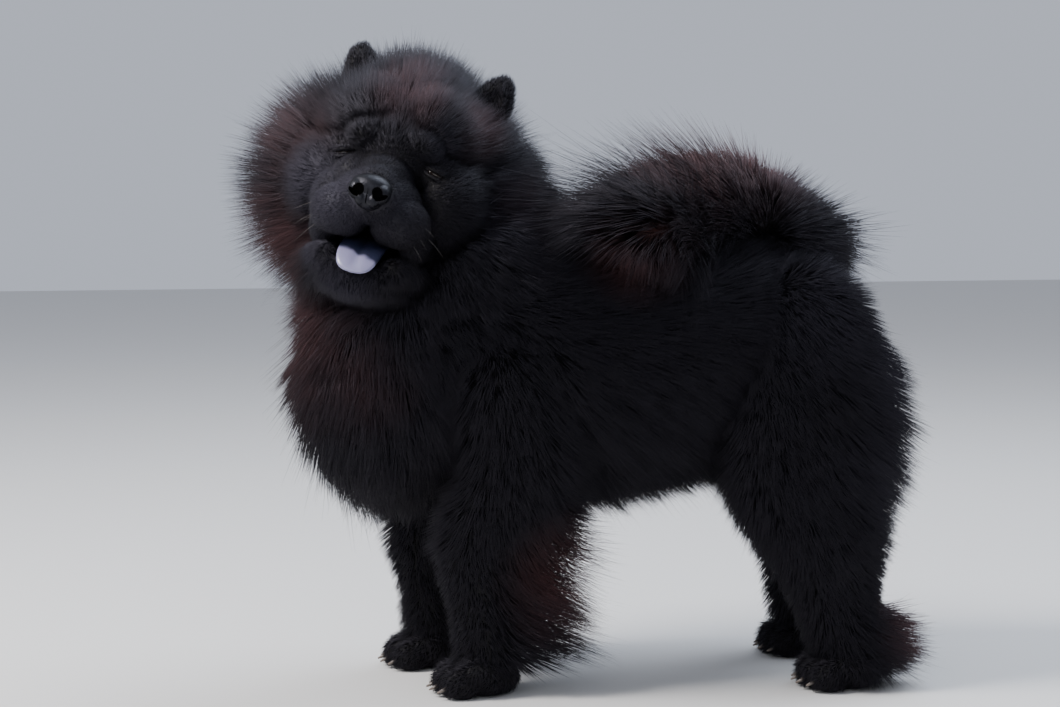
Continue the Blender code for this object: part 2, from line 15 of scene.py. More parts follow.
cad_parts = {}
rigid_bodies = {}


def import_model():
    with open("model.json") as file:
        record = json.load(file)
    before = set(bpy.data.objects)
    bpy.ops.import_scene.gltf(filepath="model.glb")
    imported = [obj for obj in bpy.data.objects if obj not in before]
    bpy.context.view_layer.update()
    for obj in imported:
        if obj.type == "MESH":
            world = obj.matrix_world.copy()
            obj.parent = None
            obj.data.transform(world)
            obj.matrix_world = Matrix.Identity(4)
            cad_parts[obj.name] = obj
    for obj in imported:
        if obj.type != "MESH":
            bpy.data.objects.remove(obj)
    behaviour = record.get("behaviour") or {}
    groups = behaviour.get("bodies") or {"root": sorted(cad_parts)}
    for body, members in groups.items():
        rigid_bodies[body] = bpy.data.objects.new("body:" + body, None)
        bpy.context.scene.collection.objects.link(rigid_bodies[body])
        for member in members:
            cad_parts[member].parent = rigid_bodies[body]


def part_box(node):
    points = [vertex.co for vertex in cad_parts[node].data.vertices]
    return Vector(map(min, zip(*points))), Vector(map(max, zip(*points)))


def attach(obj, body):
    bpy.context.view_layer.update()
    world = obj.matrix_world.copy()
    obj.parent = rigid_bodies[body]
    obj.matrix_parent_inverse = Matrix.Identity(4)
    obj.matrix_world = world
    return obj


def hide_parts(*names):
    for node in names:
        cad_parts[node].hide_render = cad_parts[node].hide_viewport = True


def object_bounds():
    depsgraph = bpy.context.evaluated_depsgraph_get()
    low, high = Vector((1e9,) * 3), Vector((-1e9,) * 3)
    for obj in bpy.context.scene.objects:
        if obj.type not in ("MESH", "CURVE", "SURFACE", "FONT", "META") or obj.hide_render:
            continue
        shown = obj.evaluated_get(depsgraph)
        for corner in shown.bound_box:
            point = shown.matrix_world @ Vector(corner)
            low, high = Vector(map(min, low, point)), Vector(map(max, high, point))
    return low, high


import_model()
cad_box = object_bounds()


# The head's place. The head has axes of its own, with zero midway between the eyes and +X
# along the muzzle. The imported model's left eye gives how far the whole dog was moved.

EYE_LINE = Vector((0.276, 0.080, 0.556))
HEAD_TURN, HEAD_NOD, HEAD_TILT = 71.5, -3.0, -13.5
HEAD = (
    Matrix.Translation(EYE_LINE)
    @ Matrix.Rotation(math.radians(HEAD_TURN), 4, "Z")
    @ Matrix.Rotation(math.radians(HEAD_NOD), 4, "Y")
    @ Matrix.Rotation(math.radians(HEAD_TILT), 4, "X")
)
EYE_RADIUS = 0.0125
EYE_SPREAD = 0.049
EYE_DEPTH = -0.004
eye_low, eye_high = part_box("eye_left")
MOVED = (eye_low + eye_high) / 2 - HEAD @ Vector((EYE_DEPTH, EYE_SPREAD, 0))
ONTO_FRAME = Matrix.Translation(MOVED)


# The skin: one closed form for the whole dog, of flesh as thick as under a real coat. Soft
# forms are grown together from ellipsoids, the head and paws finer than the body, and joined.

ROUND_MESHES = {}


def ball(bm, centre, radii, place=Matrix(), turn=(0, 0, 0), rings=14):
    """A closed ellipsoid in bm, its turn in degrees."""
    if rings not in ROUND_MESHES:
        round_bm = bmesh.new()
        bmesh.ops.create_uvsphere(round_bm, u_segments=2 * rings - 4, v_segments=rings, radius=1)
        ROUND_MESHES[rings] = bpy.data.meshes.new("round")
        round_bm.to_mesh(ROUND_MESHES[rings])
        round_bm.free()
    turned = Euler([math.radians(a) for a in turn]).to_matrix().to_4x4()
    matrix = place @ Matrix.Translation(centre) @ turned @ Matrix.Diagonal((*radii, 1))
    first = len(bm.verts)
    bm.from_mesh(ROUND_MESHES[rings])
    bm.verts.ensure_lookup_table()
    for vert in bm.verts[first:]:
        vert.co = matrix @ vert.co


def piece_from(bm, name):
    """The bmesh as an object at the origin."""
    mesh = bpy.data.meshes.new(name)
    bm.to_mesh(mesh)
    bm.free()
    piece = bpy.data.objects.new(name, mesh)
    bpy.context.scene.collection.objects.link(piece)
    return piece


def apply_modifiers(piece):
    """The piece with its modifiers made part of its mesh."""
    bpy.context.view_layer.update()
    evaluated = piece.evaluated_get(bpy.context.evaluated_depsgraph_get())
    mesh = bpy.data.meshes.new_from_object(evaluated)
    piece.modifiers.clear()
    piece.data = mesh
    return piece


def grown_together(name, bm, voxel, rounds):
    """The closed shapes in bm as one smooth skin."""
    piece = piece_from(bm, name)
    remesh = piece.modifiers.new("grow together", "REMESH")
    remesh.mode = "VOXEL"
    remesh.voxel_size = voxel
    relax = piece.modifiers.new("relax", "SMOOTH")
    relax.factor = 0.5
    relax.iterations = rounds
    return apply_modifiers(piece)


def boolean(piece, others, operation):
    """The piece joined with, or cut by, closed pieces, which are then removed."""
    group = bpy.data.collections.new("tools")
    bpy.context.scene.collection.children.link(group)
    for other in others:
        bpy.context.scene.collection.objects.unlink(other)
        group.objects.link(other)
    step = piece.modifiers.new("boolean", "BOOLEAN")
    step.operation = operation
    step.solver = "MANIFOLD"
    step.operand_type = "COLLECTION"
    step.collection = group
    apply_modifiers(piece)
    for other in list(group.objects):
        bpy.data.objects.remove(other, do_unlink=True)
    bpy.data.collections.remove(group)
    return piece


def along_curve(stations, steps):
    """Stations read from a smooth curve through the given ones, with that many steps between two."""
    points = [Vector(s) for s in stations]
    found = []
    for i in range(len(points) - 1):
        before, start = points[max(i - 1, 0)], points[i]
        end, after = points[i + 1], points[min(i + 2, len(points) - 1)]
        for k in range(steps):
            t = k / steps
            found.append(
                0.5 * (2 * start + (end - before) * t
                       + (2 * before - 5 * start + 4 * end - after) * t * t
                       + (3 * start - before - 3 * end + after) * t ** 3)
            )
    return found + [points[-1]]


# Stations along each part: x, y, z of the centre, then the flesh's half sizes along x, y, z
HIP_Y = 0.022
TORSO = [
    (0.225, 0.000, 0.365, 0.045, 0.070, 0.085),
    (0.160, 0.000, 0.352, 0.060, 0.102, 0.122),
    (0.080, 0.002, 0.347, 0.060, 0.112, 0.120),
    (-0.020, 0.008, 0.354, 0.060, 0.108, 0.108),
    (-0.110, 0.015, 0.364, 0.060, 0.098, 0.100),
    (-0.172, HIP_Y, 0.362, 0.050, 0.092, 0.078),
    (-0.204, HIP_Y, 0.350, 0.032, 0.070, 0.058),
]
NECK = [
    (0.160, 0.000, 0.400, 0.075, 0.085, 0.085),
    (0.190, -0.012, 0.455, 0.072, 0.070, 0.075),
    (0.215, -0.038, 0.510, 0.062, 0.048, 0.062),
]
BREAST = [(0.245, 0.000, 0.390, 0.065, 0.062, 0.070), (0.253, 0.000, 0.336, 0.066, 0.062, 0.084)]
TAIL = [
    (-0.170, HIP_Y, 0.430, 0.030, 0.030, 0.030),
    (-0.165, 0.028, 0.482, 0.028, 0.028, 0.028),
    (-0.110, 0.040, 0.506, 0.028, 0.028, 0.026),
    (-0.045, 0.062, 0.502, 0.026, 0.026, 0.024),
    (0.005, 0.100, 0.478, 0.022, 0.022, 0.022),
]
FEET = {
    "front_left": (0.174, 0.072, 1),
    "front_right": (0.203, -0.080, -1),
    "hind_left": (-0.212, 0.118, 1),
    "hind_right": (-0.226, -0.062, -1),
}


def front_leg(x, y, side):
    return [
        (0.150, 0.080 * side, 0.320, 0.055, 0.040, 0.070),
        (0.142, 0.084 * side, 0.240, 0.052, 0.036, 0.050),
        (x + 0.005, 0.9 * y + 0.008 * side, 0.160, 0.040, 0.031, 0.040),
        (x + 0.004, y, 0.090, 0.030, 0.027, 0.030),
        (x + 0.001, y, 0.040, 0.028, 0.027, 0.030),
    ]


def hind_leg(x, y, side):
    """The hip, thigh, hock and pastern. The right one, set further back, is slimmer in front."""
    back = 0.012 if side < 0 else 0
    return [
        (-0.165, HIP_Y + 0.062 * side, 0.370, 0.066, 0.042, 0.075),
        (-0.165 - back, HIP_Y + 0.076 * side, 0.300, 0.078 - back, 0.044, 0.065),
        (-0.163 - 1.5 * back, HIP_Y + 0.084 * side, 0.225, 0.073 - 1.5 * back, 0.042, 0.050),
        (x + 0.030 - back, 0.8 * y + 0.2 * HIP_Y + 0.018 * side, 0.160, 0.055 - back, 0.034, 0.040),
        (x + 0.018 - 0.5 * back, y, 0.110, 0.043 - 0.5 * back, 0.029, 0.032),
        (x + 0.004, y, 0.045, 0.032, 0.027, 0.030),
    ]


LEGS = {foot: (front_leg if "front" in foot else hind_leg)(*place) for foot, place in FEET.items()}
bm = bmesh.new()
for stations in (TORSO, NECK, BREAST, TAIL, *LEGS.values()):
    for station in along_curve(stations, 6):
        ball(bm, station[:3], station[3:6])
skin = grown_together("skin", bm, 0.0056, 4)

# Paws, round and cat-like, with four toes each, cut flat where they stand
TOE_PLACES = (-1.5, -0.5, 0.5, 1.5)
paws = []
toes = []
for x, y, side in FEET.values():
    bm = bmesh.new()
    ball(bm, (x + 0.004, y, 0.020), (0.037, 0.032, 0.024))
    for k in TOE_PLACES:
        toe = Vector((x + 0.040 - 0.006 * abs(k), y + 0.0170 * k, 0.015))
        toes.append(toe)
        ball(bm, toe, (0.019, 0.0102, 0.0165))
        ball(bm, toe + Vector((-0.020, 0, 0.010)), (0.020, 0.0095, 0.013))
    paw = grown_together("paw", bm, 0.0028, 2)
    bm = bmesh.new()
    bm.from_mesh(paw.data)
    cut = bmesh.ops.bisect_plane(
        bm, geom=bm.verts[:] + bm.edges[:] + bm.faces[:], dist=1e-6,
        plane_co=(0, 0, 0.0005), plane_no=(0, 0, -1), clear_outer=True,
    )
    bmesh.ops.holes_fill(bm, edges=[e for e in cut["geom_cut"] if isinstance(e, bmesh.types.BMEdge)])
    bmesh.ops.triangulate(bm, faces=bm.faces[:])
    bm.to_mesh(paw.data)
    bm.free()
    paws.append(paw)

# Head: skull, broad muzzle, loose lips, brow bumps, lower jaw and throat, in the head's axes
NOSE = Vector((0.071, 0, -0.031))
HEAD_FORMS = [
    ((-0.060, 0, 0.014), (0.070, 0.074, 0.070)),
    ((-0.070, 0, -0.018), (0.040, 0.094, 0.086)),
    ((-0.012, 0, 0.014), (0.028, 0.046, 0.034)),
    ((0.022, 0, -0.036), (0.044, 0.044, 0.028)),
    ((0.048, 0, -0.040), (0.022, 0.034, 0.024)),
    ((-0.050, 0, -0.090), (0.050, 0.052, 0.044)),
    ((0.010, 0, -0.016), (0.036, 0.030, 0.024)),
    ((0.034, 0, -0.024), (0.030, 0.024, 0.020)),
    ((0.004, -0.046, -0.046), (0.034, 0.024, 0.032)),
    ((0.006, -0.031, -0.021), (0.026, 0.022, 0.023)),
]
HEAD_PAIRS = [
    ((0.000, 0.030, 0.024), (0.017, 0.019, 0.012), (-22, 0, 0)),
    ((-0.016, 0.064, -0.030), (0.032, 0.030, 0.040), (0, 0, 0)),
    ((-0.006, EYE_SPREAD, -0.001), (0.0105, 0.022, 0.018), (0, 0, 0)),
    ((-0.020, 0.030, 0.038), (0.024, 0.034, 0.034), (0, 0, 0)),
    ((0.038, 0.031, -0.057), (0.030, 0.030, 0.026), (0, 0, 0)),
    ((0.012, 0.046, -0.072), (0.032, 0.016, 0.022), (0, 0, 0)),
    ((0.000, 0.044, -0.102), (0.036, 0.014, 0.016), (0, 0, 0)),
    ((0.022, 0.036, -0.105), (0.028, 0.012, 0.014), (0, 0, 0)),
    ((0.044, 0.019, -0.112), (0.012, 0.020, 0.009), (0, 0, 0)),
]
JAW_FORMS = [((0.000, 0, -0.119), (0.046, 0.052, 0.021)), ((0.030, 0, -0.122), (0.028, 0.038, 0.016))]
bm = bmesh.new()
for centre, radii in HEAD_FORMS + JAW_FORMS:
    ball(bm, centre, radii, HEAD, rings=20)
for (x, y, z), radii, turn in HEAD_PAIRS:
    for side in (1, -1):
        ball(bm, (x, y * side, z), radii, HEAD, (turn[0] * side, turn[1], turn[2] * side), rings=20)
head = grown_together("head_skin", bm, 0.00215, 6)

# Ears, small, thick and rounded, cupped towards the front
EAR_PLACE = Vector((-0.082, 0.066, 0.073))
EAR_OFFSET = 0.005
ears = []
for side in (1, -1):
    middle = Vector((EAR_PLACE.x, EAR_PLACE.y * side + EAR_OFFSET, EAR_PLACE.z))
    turn = (-20 * side, 0, 10 * side)
    bm = bmesh.new()
    ball(bm, middle, (0.012, 0.022, 0.046), HEAD, turn, rings=24)
    ear = grown_together("ear", bm, 0.0020, 2)
    bm = bmesh.new()
    ball(bm, middle + Vector((0.015, 0.002 * side, 0.004)), (0.011, 0.014, 0.034), HEAD, turn, rings=24)
    bmesh.ops.triangulate(bm, faces=bm.faces[:])
    ears.append(boolean(ear, [piece_from(bm, "cup")], "DIFFERENCE"))

# Lids: bare rims, bent over and under the eye and drawn together to a slit
EYE_SLANT = -14.0
SLIT = 0.0036


def tube(name, points, radii, place, sides=3):
    """A bent round tube through the points, thinner where its radii say."""
    curve = bpy.data.curves.new(name, "CURVE")
    curve.dimensions = "3D"
    curve.bevel_depth = 1
    curve.bevel_resolution = sides
    curve.use_fill_caps = True
    spline = curve.splines.new("POLY")
    spline.points.add(len(points) - 1)
    for point, co, radius in zip(spline.points, points, radii):
        point.co = (*(place @ Vector(co)), 1)
        point.radius = radius
    guide = bpy.data.objects.new(name, curve)
    bpy.context.scene.collection.objects.link(guide)
    bpy.context.view_layer.update()
    mesh = bpy.data.meshes.new_from_object(guide.evaluated_get(bpy.context.evaluated_depsgraph_get()))
    bpy.data.objects.remove(guide, do_unlink=True)
    bm = bmesh.new()
    bm.from_mesh(mesh)
    bmesh.ops.remove_doubles(bm, verts=bm.verts[:], dist=1e-5)
    bmesh.ops.recalc_face_normals(bm, faces=bm.faces[:])
    bmesh.ops.triangulate(bm, faces=bm.faces[:])
    return piece_from(bm, name)


lids = []
for side in (1, -1):
    slant = Matrix.Rotation(math.radians(EYE_SLANT * side), 3, "X")
    for upper in (1, -1):
        points, radii = [], []
        for k in range(13):
            t = k / 12
            turn = math.radians(-80 + 160 * t)
            reach = EYE_RADIUS + 0.0003
            offset = Vector((
                reach * math.cos(turn) * 0.98,
                reach * 1.15 * math.sin(turn) * side,
                SLIT * math.sin(math.pi * t) ** 0.7 * upper,
            ))
            points.append(Vector((EYE_DEPTH, EYE_SPREAD * side, 0)) + slant @ offset)
            radii.append(0.0010 + 0.0008 * math.sin(math.pi * t))
        lids.append(tube("lid", points, radii, HEAD))
boolean(skin, [head, *paws, *ears, *lids], "UNION")
bm = bmesh.new()
ball(bm, (0.076, 0, -0.066), (0.012, 0.0014, 0.018), HEAD)
bmesh.ops.triangulate(bm, faces=bm.faces[:])
boolean(skin, [piece_from(bm, "philtrum")], "DIFFERENCE")
skin.data.shade_smooth()


# The black of the skin and coat, with the rusty brown that the sun brings out on the crown,
# the breast, the tail's plume and the feathering, and grey patches of painted sheen where light
# glances off the chin, muzzle, cheek, brow, ruff and rump. Skin and coat read it by place.

def new_finish(name, colour, roughness):
    """A material with its shader, nodes and links."""
    material = bpy.data.materials.new(name)
    material.use_nodes = True
    nodes, links = material.node_tree.nodes, material.node_tree.links
    shader = nodes["Principled BSDF"]
    shader.inputs["Base Color"].default_value = (*colour, 1)
    shader.inputs["Roughness"].default_value = roughness
    return material, nodes, links, shader


# Rusty patches: centre in the dog's axes, reach, strength
RUST_PATCHES = [
    (HEAD @ Vector((-0.020, 0.005, 0.082)), 0.065, 0.50),
    (HEAD @ Vector((-0.040, -0.110, 0.000)), 0.085, 0.30),
    (HEAD @ Vector((-0.050, -0.100, -0.110)), 0.095, 0.60),
    (HEAD @ Vector((-0.040, 0.070, 0.060)), 0.055, 0.45),
    (HEAD @ Vector((-0.070, 0.130, -0.020)), 0.060, 0.40),
    (Vector((0.340, 0.000, 0.360)), 0.120, 0.80),
    (Vector((0.300, 0.060, 0.330)), 0.080, 0.45),
    (Vector((-0.120, 0.040, 0.585)), 0.120, 0.70),
    (Vector((-0.030, 0.070, 0.550)), 0.100, 0.60),
    (Vector((0.020, 0.100, 0.470)), 0.080, 0.80),
    (Vector((0.090, 0.090, 0.120)), 0.095, 0.75),
    (Vector((-0.280, 0.120, 0.060)), 0.070, 1.00),
    (Vector((-0.290, -0.060, 0.080)), 0.070, 0.60),
]
RUST = (0.068, 0.027, 0.025, 1)
BLACK = (0.0055, 0.0048, 0.0058, 1)

# Painted sheen: grey patches where light glances off the coat, on the chin, muzzle, cheek, left brow, ruff, rump and
# thigh; centre, reach, strength as above
PAINTED_SHEEN_PATCHES = [
    (HEAD @ Vector((0.050, -0.010, -0.128)), 0.050, 0.80),
    (HEAD @ Vector((0.030, -0.050, -0.105)), 0.040, 0.80),
    (HEAD @ Vector((0.055, -0.035, -0.050)), 0.060, 1.00),
    (HEAD @ Vector((0.010, -0.075, -0.035)), 0.060, 0.80),
    (HEAD @ Vector((0.060, 0.025, -0.045)), 0.050, 0.45),
    (HEAD @ Vector((0.005, 0.050, 0.030)), 0.032, 0.35),
    (HEAD @ Vector((-0.060, 0.130, -0.040)), 0.085, 0.55),
    (Vector((-0.270, 0.110, 0.340)), 0.110, 0.60),
    (Vector((-0.250, 0.120, 0.230)), 0.100, 0.35),
    (Vector((-0.190, 0.135, 0.410)), 0.110, 0.45),
]
PAINTED_SHEEN_GREY = (0.026, 0.024, 0.033, 1)

markings_and_sheen = bpy.data.node_groups.new("coat markings and painted sheen", "ShaderNodeTree")
markings_and_sheen.interface.new_socket("Place", in_out="INPUT", socket_type="NodeSocketVector")
markings_and_sheen.interface.new_socket("Colour", in_out="OUTPUT", socket_type="NodeSocketColor")
nodes, links = markings_and_sheen.nodes, markings_and_sheen.links
group_in, group_out = nodes.new("NodeGroupInput"), nodes.new("NodeGroupOutput")


def patches_mask(patches):
    """How strong the strongest of these soft patches is at each place."""
    strongest = None
    for centre, reach, strength in patches:
        distance = nodes.new("ShaderNodeVectorMath")
        distance.operation = "DISTANCE"
        distance.inputs[1].default_value = centre + MOVED
        links.new(group_in.outputs["Place"], distance.inputs[0])
        fade = nodes.new("ShaderNodeMapRange")
        fade.interpolation_type = "SMOOTHSTEP"
        fade.inputs["From Min"].default_value = reach
        fade.inputs["From Max"].default_value = reach * 0.15
        fade.inputs["To Max"].default_value = strength
        links.new(distance.outputs["Value"], fade.inputs["Value"])
        if strongest is None:
            strongest = fade.outputs["Result"]
            continue
        larger = nodes.new("ShaderNodeMath")
        larger.operation = "MAXIMUM"
        links.new(strongest, larger.inputs[0])
        links.new(fade.outputs["Result"], larger.inputs[1])
        strongest = larger.outputs[0]
    return strongest


uneven = nodes.new("ShaderNodeTexNoise")
uneven.inputs["Scale"].default_value = 26
uneven.inputs["Detail"].default_value = 3
links.new(group_in.outputs["Place"], uneven.inputs["Vector"])
patchy = nodes.new("ShaderNodeMapRange")
patchy.inputs["From Min"].default_value = 0.34
patchy.inputs["From Max"].default_value = 0.62
patchy.inputs["To Min"].default_value = 0.45
links.new(uneven.outputs["Fac"], patchy.inputs["Value"])
rusty = nodes.new("ShaderNodeMath")
rusty.operation = "MULTIPLY"
links.new(patches_mask(RUST_PATCHES), rusty.inputs[0])
links.new(patchy.outputs["Result"], rusty.inputs[1])
tinted = nodes.new("ShaderNodeMix")
tinted.data_type = "RGBA"
tinted.inputs["A"].default_value = BLACK
tinted.inputs["B"].default_value = RUST
links.new(rusty.outputs[0], tinted.inputs["Factor"])
# Painted sheen: the grey is mixed over the black and rust where the sheen patches lie
painted_sheen_mix = nodes.new("ShaderNodeMix")
painted_sheen_mix.data_type = "RGBA"
painted_sheen_mix.inputs["B"].default_value = PAINTED_SHEEN_GREY
links.new(tinted.outputs["Result"], painted_sheen_mix.inputs["A"])
links.new(patches_mask(PAINTED_SHEEN_PATCHES), painted_sheen_mix.inputs["Factor"])
links.new(painted_sheen_mix.outputs["Result"], group_out.inputs["Colour"])


def marked_with_sheen(nodes, links):
    """The markings' colour, with the painted sheen, at each place, in a material."""
    place = nodes.new("ShaderNodeTexCoord")
    group = nodes.new("ShaderNodeGroup")
    group.node_tree = markings_and_sheen
    links.new(place.outputs["Object"], group.inputs["Place"])
    return group.outputs["Colour"], place.outputs["Object"]


skin_finish, nodes, links, shader = new_finish("black skin", BLACK[:3], 0.60)
shader.inputs["Specular IOR Level"].default_value = 0.12
colour, place = marked_with_sheen(nodes, links)
links.new(colour, shader.inputs["Base Color"])
creases = nodes.new("ShaderNodeTexNoise")
creases.inputs["Scale"].default_value = 420
creases.inputs["Detail"].default_value = 4
links.new(place, creases.inputs["Vector"])
bump = nodes.new("ShaderNodeBump")
bump.inputs["Strength"].default_value = 0.5
bump.inputs["Distance"].default_value = 0.0006
links.new(creases.outputs["Fac"], bump.inputs["Height"])
links.new(bump.outputs["Normal"], shader.inputs["Normal"])
skin.data.materials.clear()
skin.data.materials.append(skin_finish)


# The coat's lie. Each part of the body has its own length and lie, in angles over the skin,
# and where two parts meet their coats run into each other without a line.

def unit(v):
    return v / np.maximum(np.linalg.norm(v, axis=-1, keepdims=True), 1e-9)


def between(value, low, high):
    """From 0 at low to 1 at high, eased."""
    t = np.clip((value - low) / (high - low), 0, 1)
    return t * t * (3 - 2 * t)


TURN_IN = np.array(HEAD.inverted().to_3x3())
TURN_OUT = np.array(HEAD.to_3x3())


def in_head(points):
    return (points - np.array(HEAD.translation)) @ TURN_IN.T


def torso_coat(p, n):
    """Back over the flank and down the rump and belly."""
    rear = np.maximum(0, -n[:, 0])
    belly = between(-n[:, 2], 0.1, 0.8)
    lie = np.stack([-1 + 0.7 * rear, 0 * rear, -0.45 - 0.8 * rear], 1)
    return lie, 0.056 - 0.016 * rear + 0.022 * belly, 60, 30 + 9 * belly


def neck_coat(p, n):
    away = unit(p - np.array(HEAD @ Vector((-0.07, 0, -0.018))))
    return away + np.array([-0.15, 0, -0.75]), np.full(len(p), 0.088), 62, 30


def breast_coat(p, n):
    lie = np.stack([0.15 + 0 * p[:, 0], 0.3 * n[:, 1], -1 + 0 * p[:, 0]], 1)
    return lie, 0.088 + 0.014 * between(-p[:, 2], -0.330, -0.270), 60, 26


def tail_coat(p, n):
    """From a whorl over the tail's root: back behind it, up above it, and forward along the plume."""
    way = p - np.array([-0.130, 0.050, 0.485])
    way[:, 1] *= 0.4
    way = unit(way)
    front = between(p[:, 0], -0.115, -0.045)
    over = between(n[:, 2], 0.0, 0.7)
    tip = between(p[:, 0], -0.030, 0.000) * (1 - over)
    lie = way * (1 - front)[:, None] + np.array([1.0, 0.1, 0.10]) * front[:, None]
    lie = lie * (1 - tip)[:, None] + np.array([0.30, 0.1, -1.0]) * tip[:, None]
    rear = between(-p[:, 0], 0.150, 0.190) * between(p[:, 2], 0.455, 0.480)
    high = over * between(-p[:, 0], 0.105, 0.140)
    length = 0.054 + 0.028 * front - 0.034 * tip + 0.020 * rear * (1 - over) - 0.020 * high
    length = length * (1 - 0.5 * between(-p[:, 2], -0.462, -0.440))
    length = length + 0.042 * front * over * between(p[:, 0], -0.03, 0.01)
    return lie, length, 54 - 10 * front, 26 - 8 * front


def hind_coat(p, n):
    """Down the thigh, long on the breech, close at the hock and a puff below it."""
    back = between(-n[:, 0], 0.0, 0.8)
    breech = back * between(p[:, 2], 0.190, 0.250) * (1 - 0.75 * between(p[:, 2], 0.345, 0.405))
    puff = between(-n[:, 0], -0.2, 0.6) * between(-p[:, 2], -0.100, -0.074)
    low = between(-p[:, 2], -0.20, -0.10)
    lie = np.stack([-0.30 - 0.5 * back - 0.6 * puff, 0 * back, -0.95 + 0.75 * puff], 1)
    length = 0.040 - 0.012 * between(p[:, 2], 0.360, 0.420) - 0.014 * low - 0.010 * back * low + 0.030 * breech + 0.056 * puff
    return lie, length, 58 + 4 * breech, 30 + 5 * breech + 8 * puff


def fore_coat(p, n):
    """Down in front, and swept back in a long plume behind."""
    back = between(-n[:, 0], 0.1, 0.8)
    low = between(-p[:, 2], -0.20, -0.12)
    plume = back * between(p[:, 2], 0.030, 0.055)
    front = between(n[:, 0], 0.1, 0.8)
    lie = np.stack([-0.10 - 0.85 * plume, 0 * back, -1 + 0.45 * plume], 1)
    heel = between(-p[:, 2], -0.085, -0.045)
    long = between(-p[:, 2], -0.215, -0.140)
    length = 0.034 - 0.016 * low + 0.003 * front - 0.012 * back + (0.036 + 0.076 * long) * plume
    length = length * (1 - 0.32 * heel * plume)
    return lie, length, 56 + 18 * plume * long, 26 + 8 * front + 28 * plume * long


def paw_coat(p, n):
    return np.tile([0.7, 0, -0.7], (len(p), 1)), np.full(len(p), 0.010), 40, 14


def ear_coat(p, n):
    return np.tile(TURN_OUT @ np.array([-0.2, 0, 1.0]), (len(p), 1)), np.full(len(p), 0.008), 40, 16


def head_coat(p, n):
    """Velvet round the nose, longer over brow and cheek, then the crown and the ruff."""
    own = in_head(p)
    x, y, z = own.T
    outward = np.hypot(y, z + 0.018)
    behind = between(-x + 0.35 * (outward - 0.030), -0.004, 0.082)
    from_nose = unit(own - np.array(NOSE))
    radial = np.stack([-0.45 + 0 * y, y, z + 0.018], 1)
    radial[:, 1:] = unit(radial[:, 1:])
    from_eye = own - np.stack([EYE_DEPTH + 0 * y, EYE_SPREAD * np.sign(y), 0 * z], 1)
    near_eye = between(-np.linalg.norm(from_eye, axis=1), -0.030, -0.014)
    lie = from_nose * (1 - behind)[:, None] + radial * behind[:, None]
    lie = lie + unit(from_eye) * (0.6 * near_eye)[:, None]
    chin = between(-z, 0.088, 0.100) * (1 - behind)
    lie = lie * (1 - chin)[:, None] + np.array([-0.25, 0, -1.0]) * chin[:, None]
    crown = between(z, 0.030, 0.075)
    by_ear = between(-np.hypot(np.abs(y) - 0.066, z - 0.072), -0.045, -0.018) * between(x, -0.092, -0.076)
    velvet = between(-np.linalg.norm((own - [0.030, 0, -0.045]) / [1, 1.25, 1], axis=1), -0.078, -0.050)
    brow = between(z, 0.010, 0.045)
    length = (0.013 + 0.006 * brow - 0.0065 * velvet) * (1 - 0.45 * near_eye)
    wide = 1 + 0.27 * between(-y, 0.0, 0.08) * between(-z, -0.030, 0.030) - 0.16 * between(y, 0.03, 0.09)
    length = length + behind * (0.070 - 0.031 * crown) * (1 - 0.45 * by_ear) * wide
    length = length + 0.006 * chin
    still = 1 - velvet
    end = 14 + 4 * still + 22 * behind ** 2 + 12 * behind * crown
    return lie @ TURN_OUT.T, length, 36 + 6 * still + 20 * behind ** 2, end


COATS = {
    "torso": (TORSO, torso_coat),
    "neck": (NECK, neck_coat),
    "breast": (BREAST, breast_coat),
    "tail": (TAIL, tail_coat),
}
for foot, stations in LEGS.items():
    COATS[foot] = (stations, fore_coat if "front" in foot else hind_coat)
for foot, (x, y, side) in FEET.items():
    COATS[foot + "_paw"] = ([(x + 0.012, y, 0.012, 0.046, 0.034, 0.022)], paw_coat)
head_stations = [(*centre, *radii) for centre, radii in HEAD_FORMS + JAW_FORMS]
head_stations += [(x, y * s, z, *radii) for (x, y, z), radii, _ in HEAD_PAIRS for s in (1, -1)]
ear_stations = [
    (EAR_PLACE.x, EAR_PLACE.y * s + EAR_OFFSET, EAR_PLACE.z, 0.014, 0.027, 0.050) for s in (1, -1)
]

# Roots, spread over the skin by area
rng = np.random.default_rng(7)
mesh = skin.data
mesh.calc_loop_triangles()
corners = np.empty(len(mesh.loop_triangles) * 3, np.int32)
mesh.loop_triangles.foreach_get("vertices", corners)
corners = corners.reshape(-1, 3)
co = np.empty(len(mesh.vertices) * 3, np.float32)
mesh.vertices.foreach_get("co", co)
co = co.reshape(-1, 3).astype(float)
vn = np.empty(len(mesh.vertices) * 3, np.float32)
mesh.vertex_normals.foreach_get("vector", vn)
vn = vn.reshape(-1, 3).astype(float)
a, b, c = (co[corners[:, i]] for i in range(3))
area = np.linalg.norm(np.cross(b - a, c - a), axis=1)
ROOTS = 800000
chosen = rng.choice(len(corners), ROOTS, p=area / area.sum())
r1, r2 = np.sqrt(rng.random(ROOTS)), rng.random(ROOTS)
shares = np.stack([1 - r1, r1 * (1 - r2), r1 * r2], 1)
roots = sum(co[corners[chosen, i]] * shares[:, i:i + 1] for i in range(3))
normals = unit(sum(vn[corners[chosen, i]] * shares[:, i:i + 1] for i in range(3)))

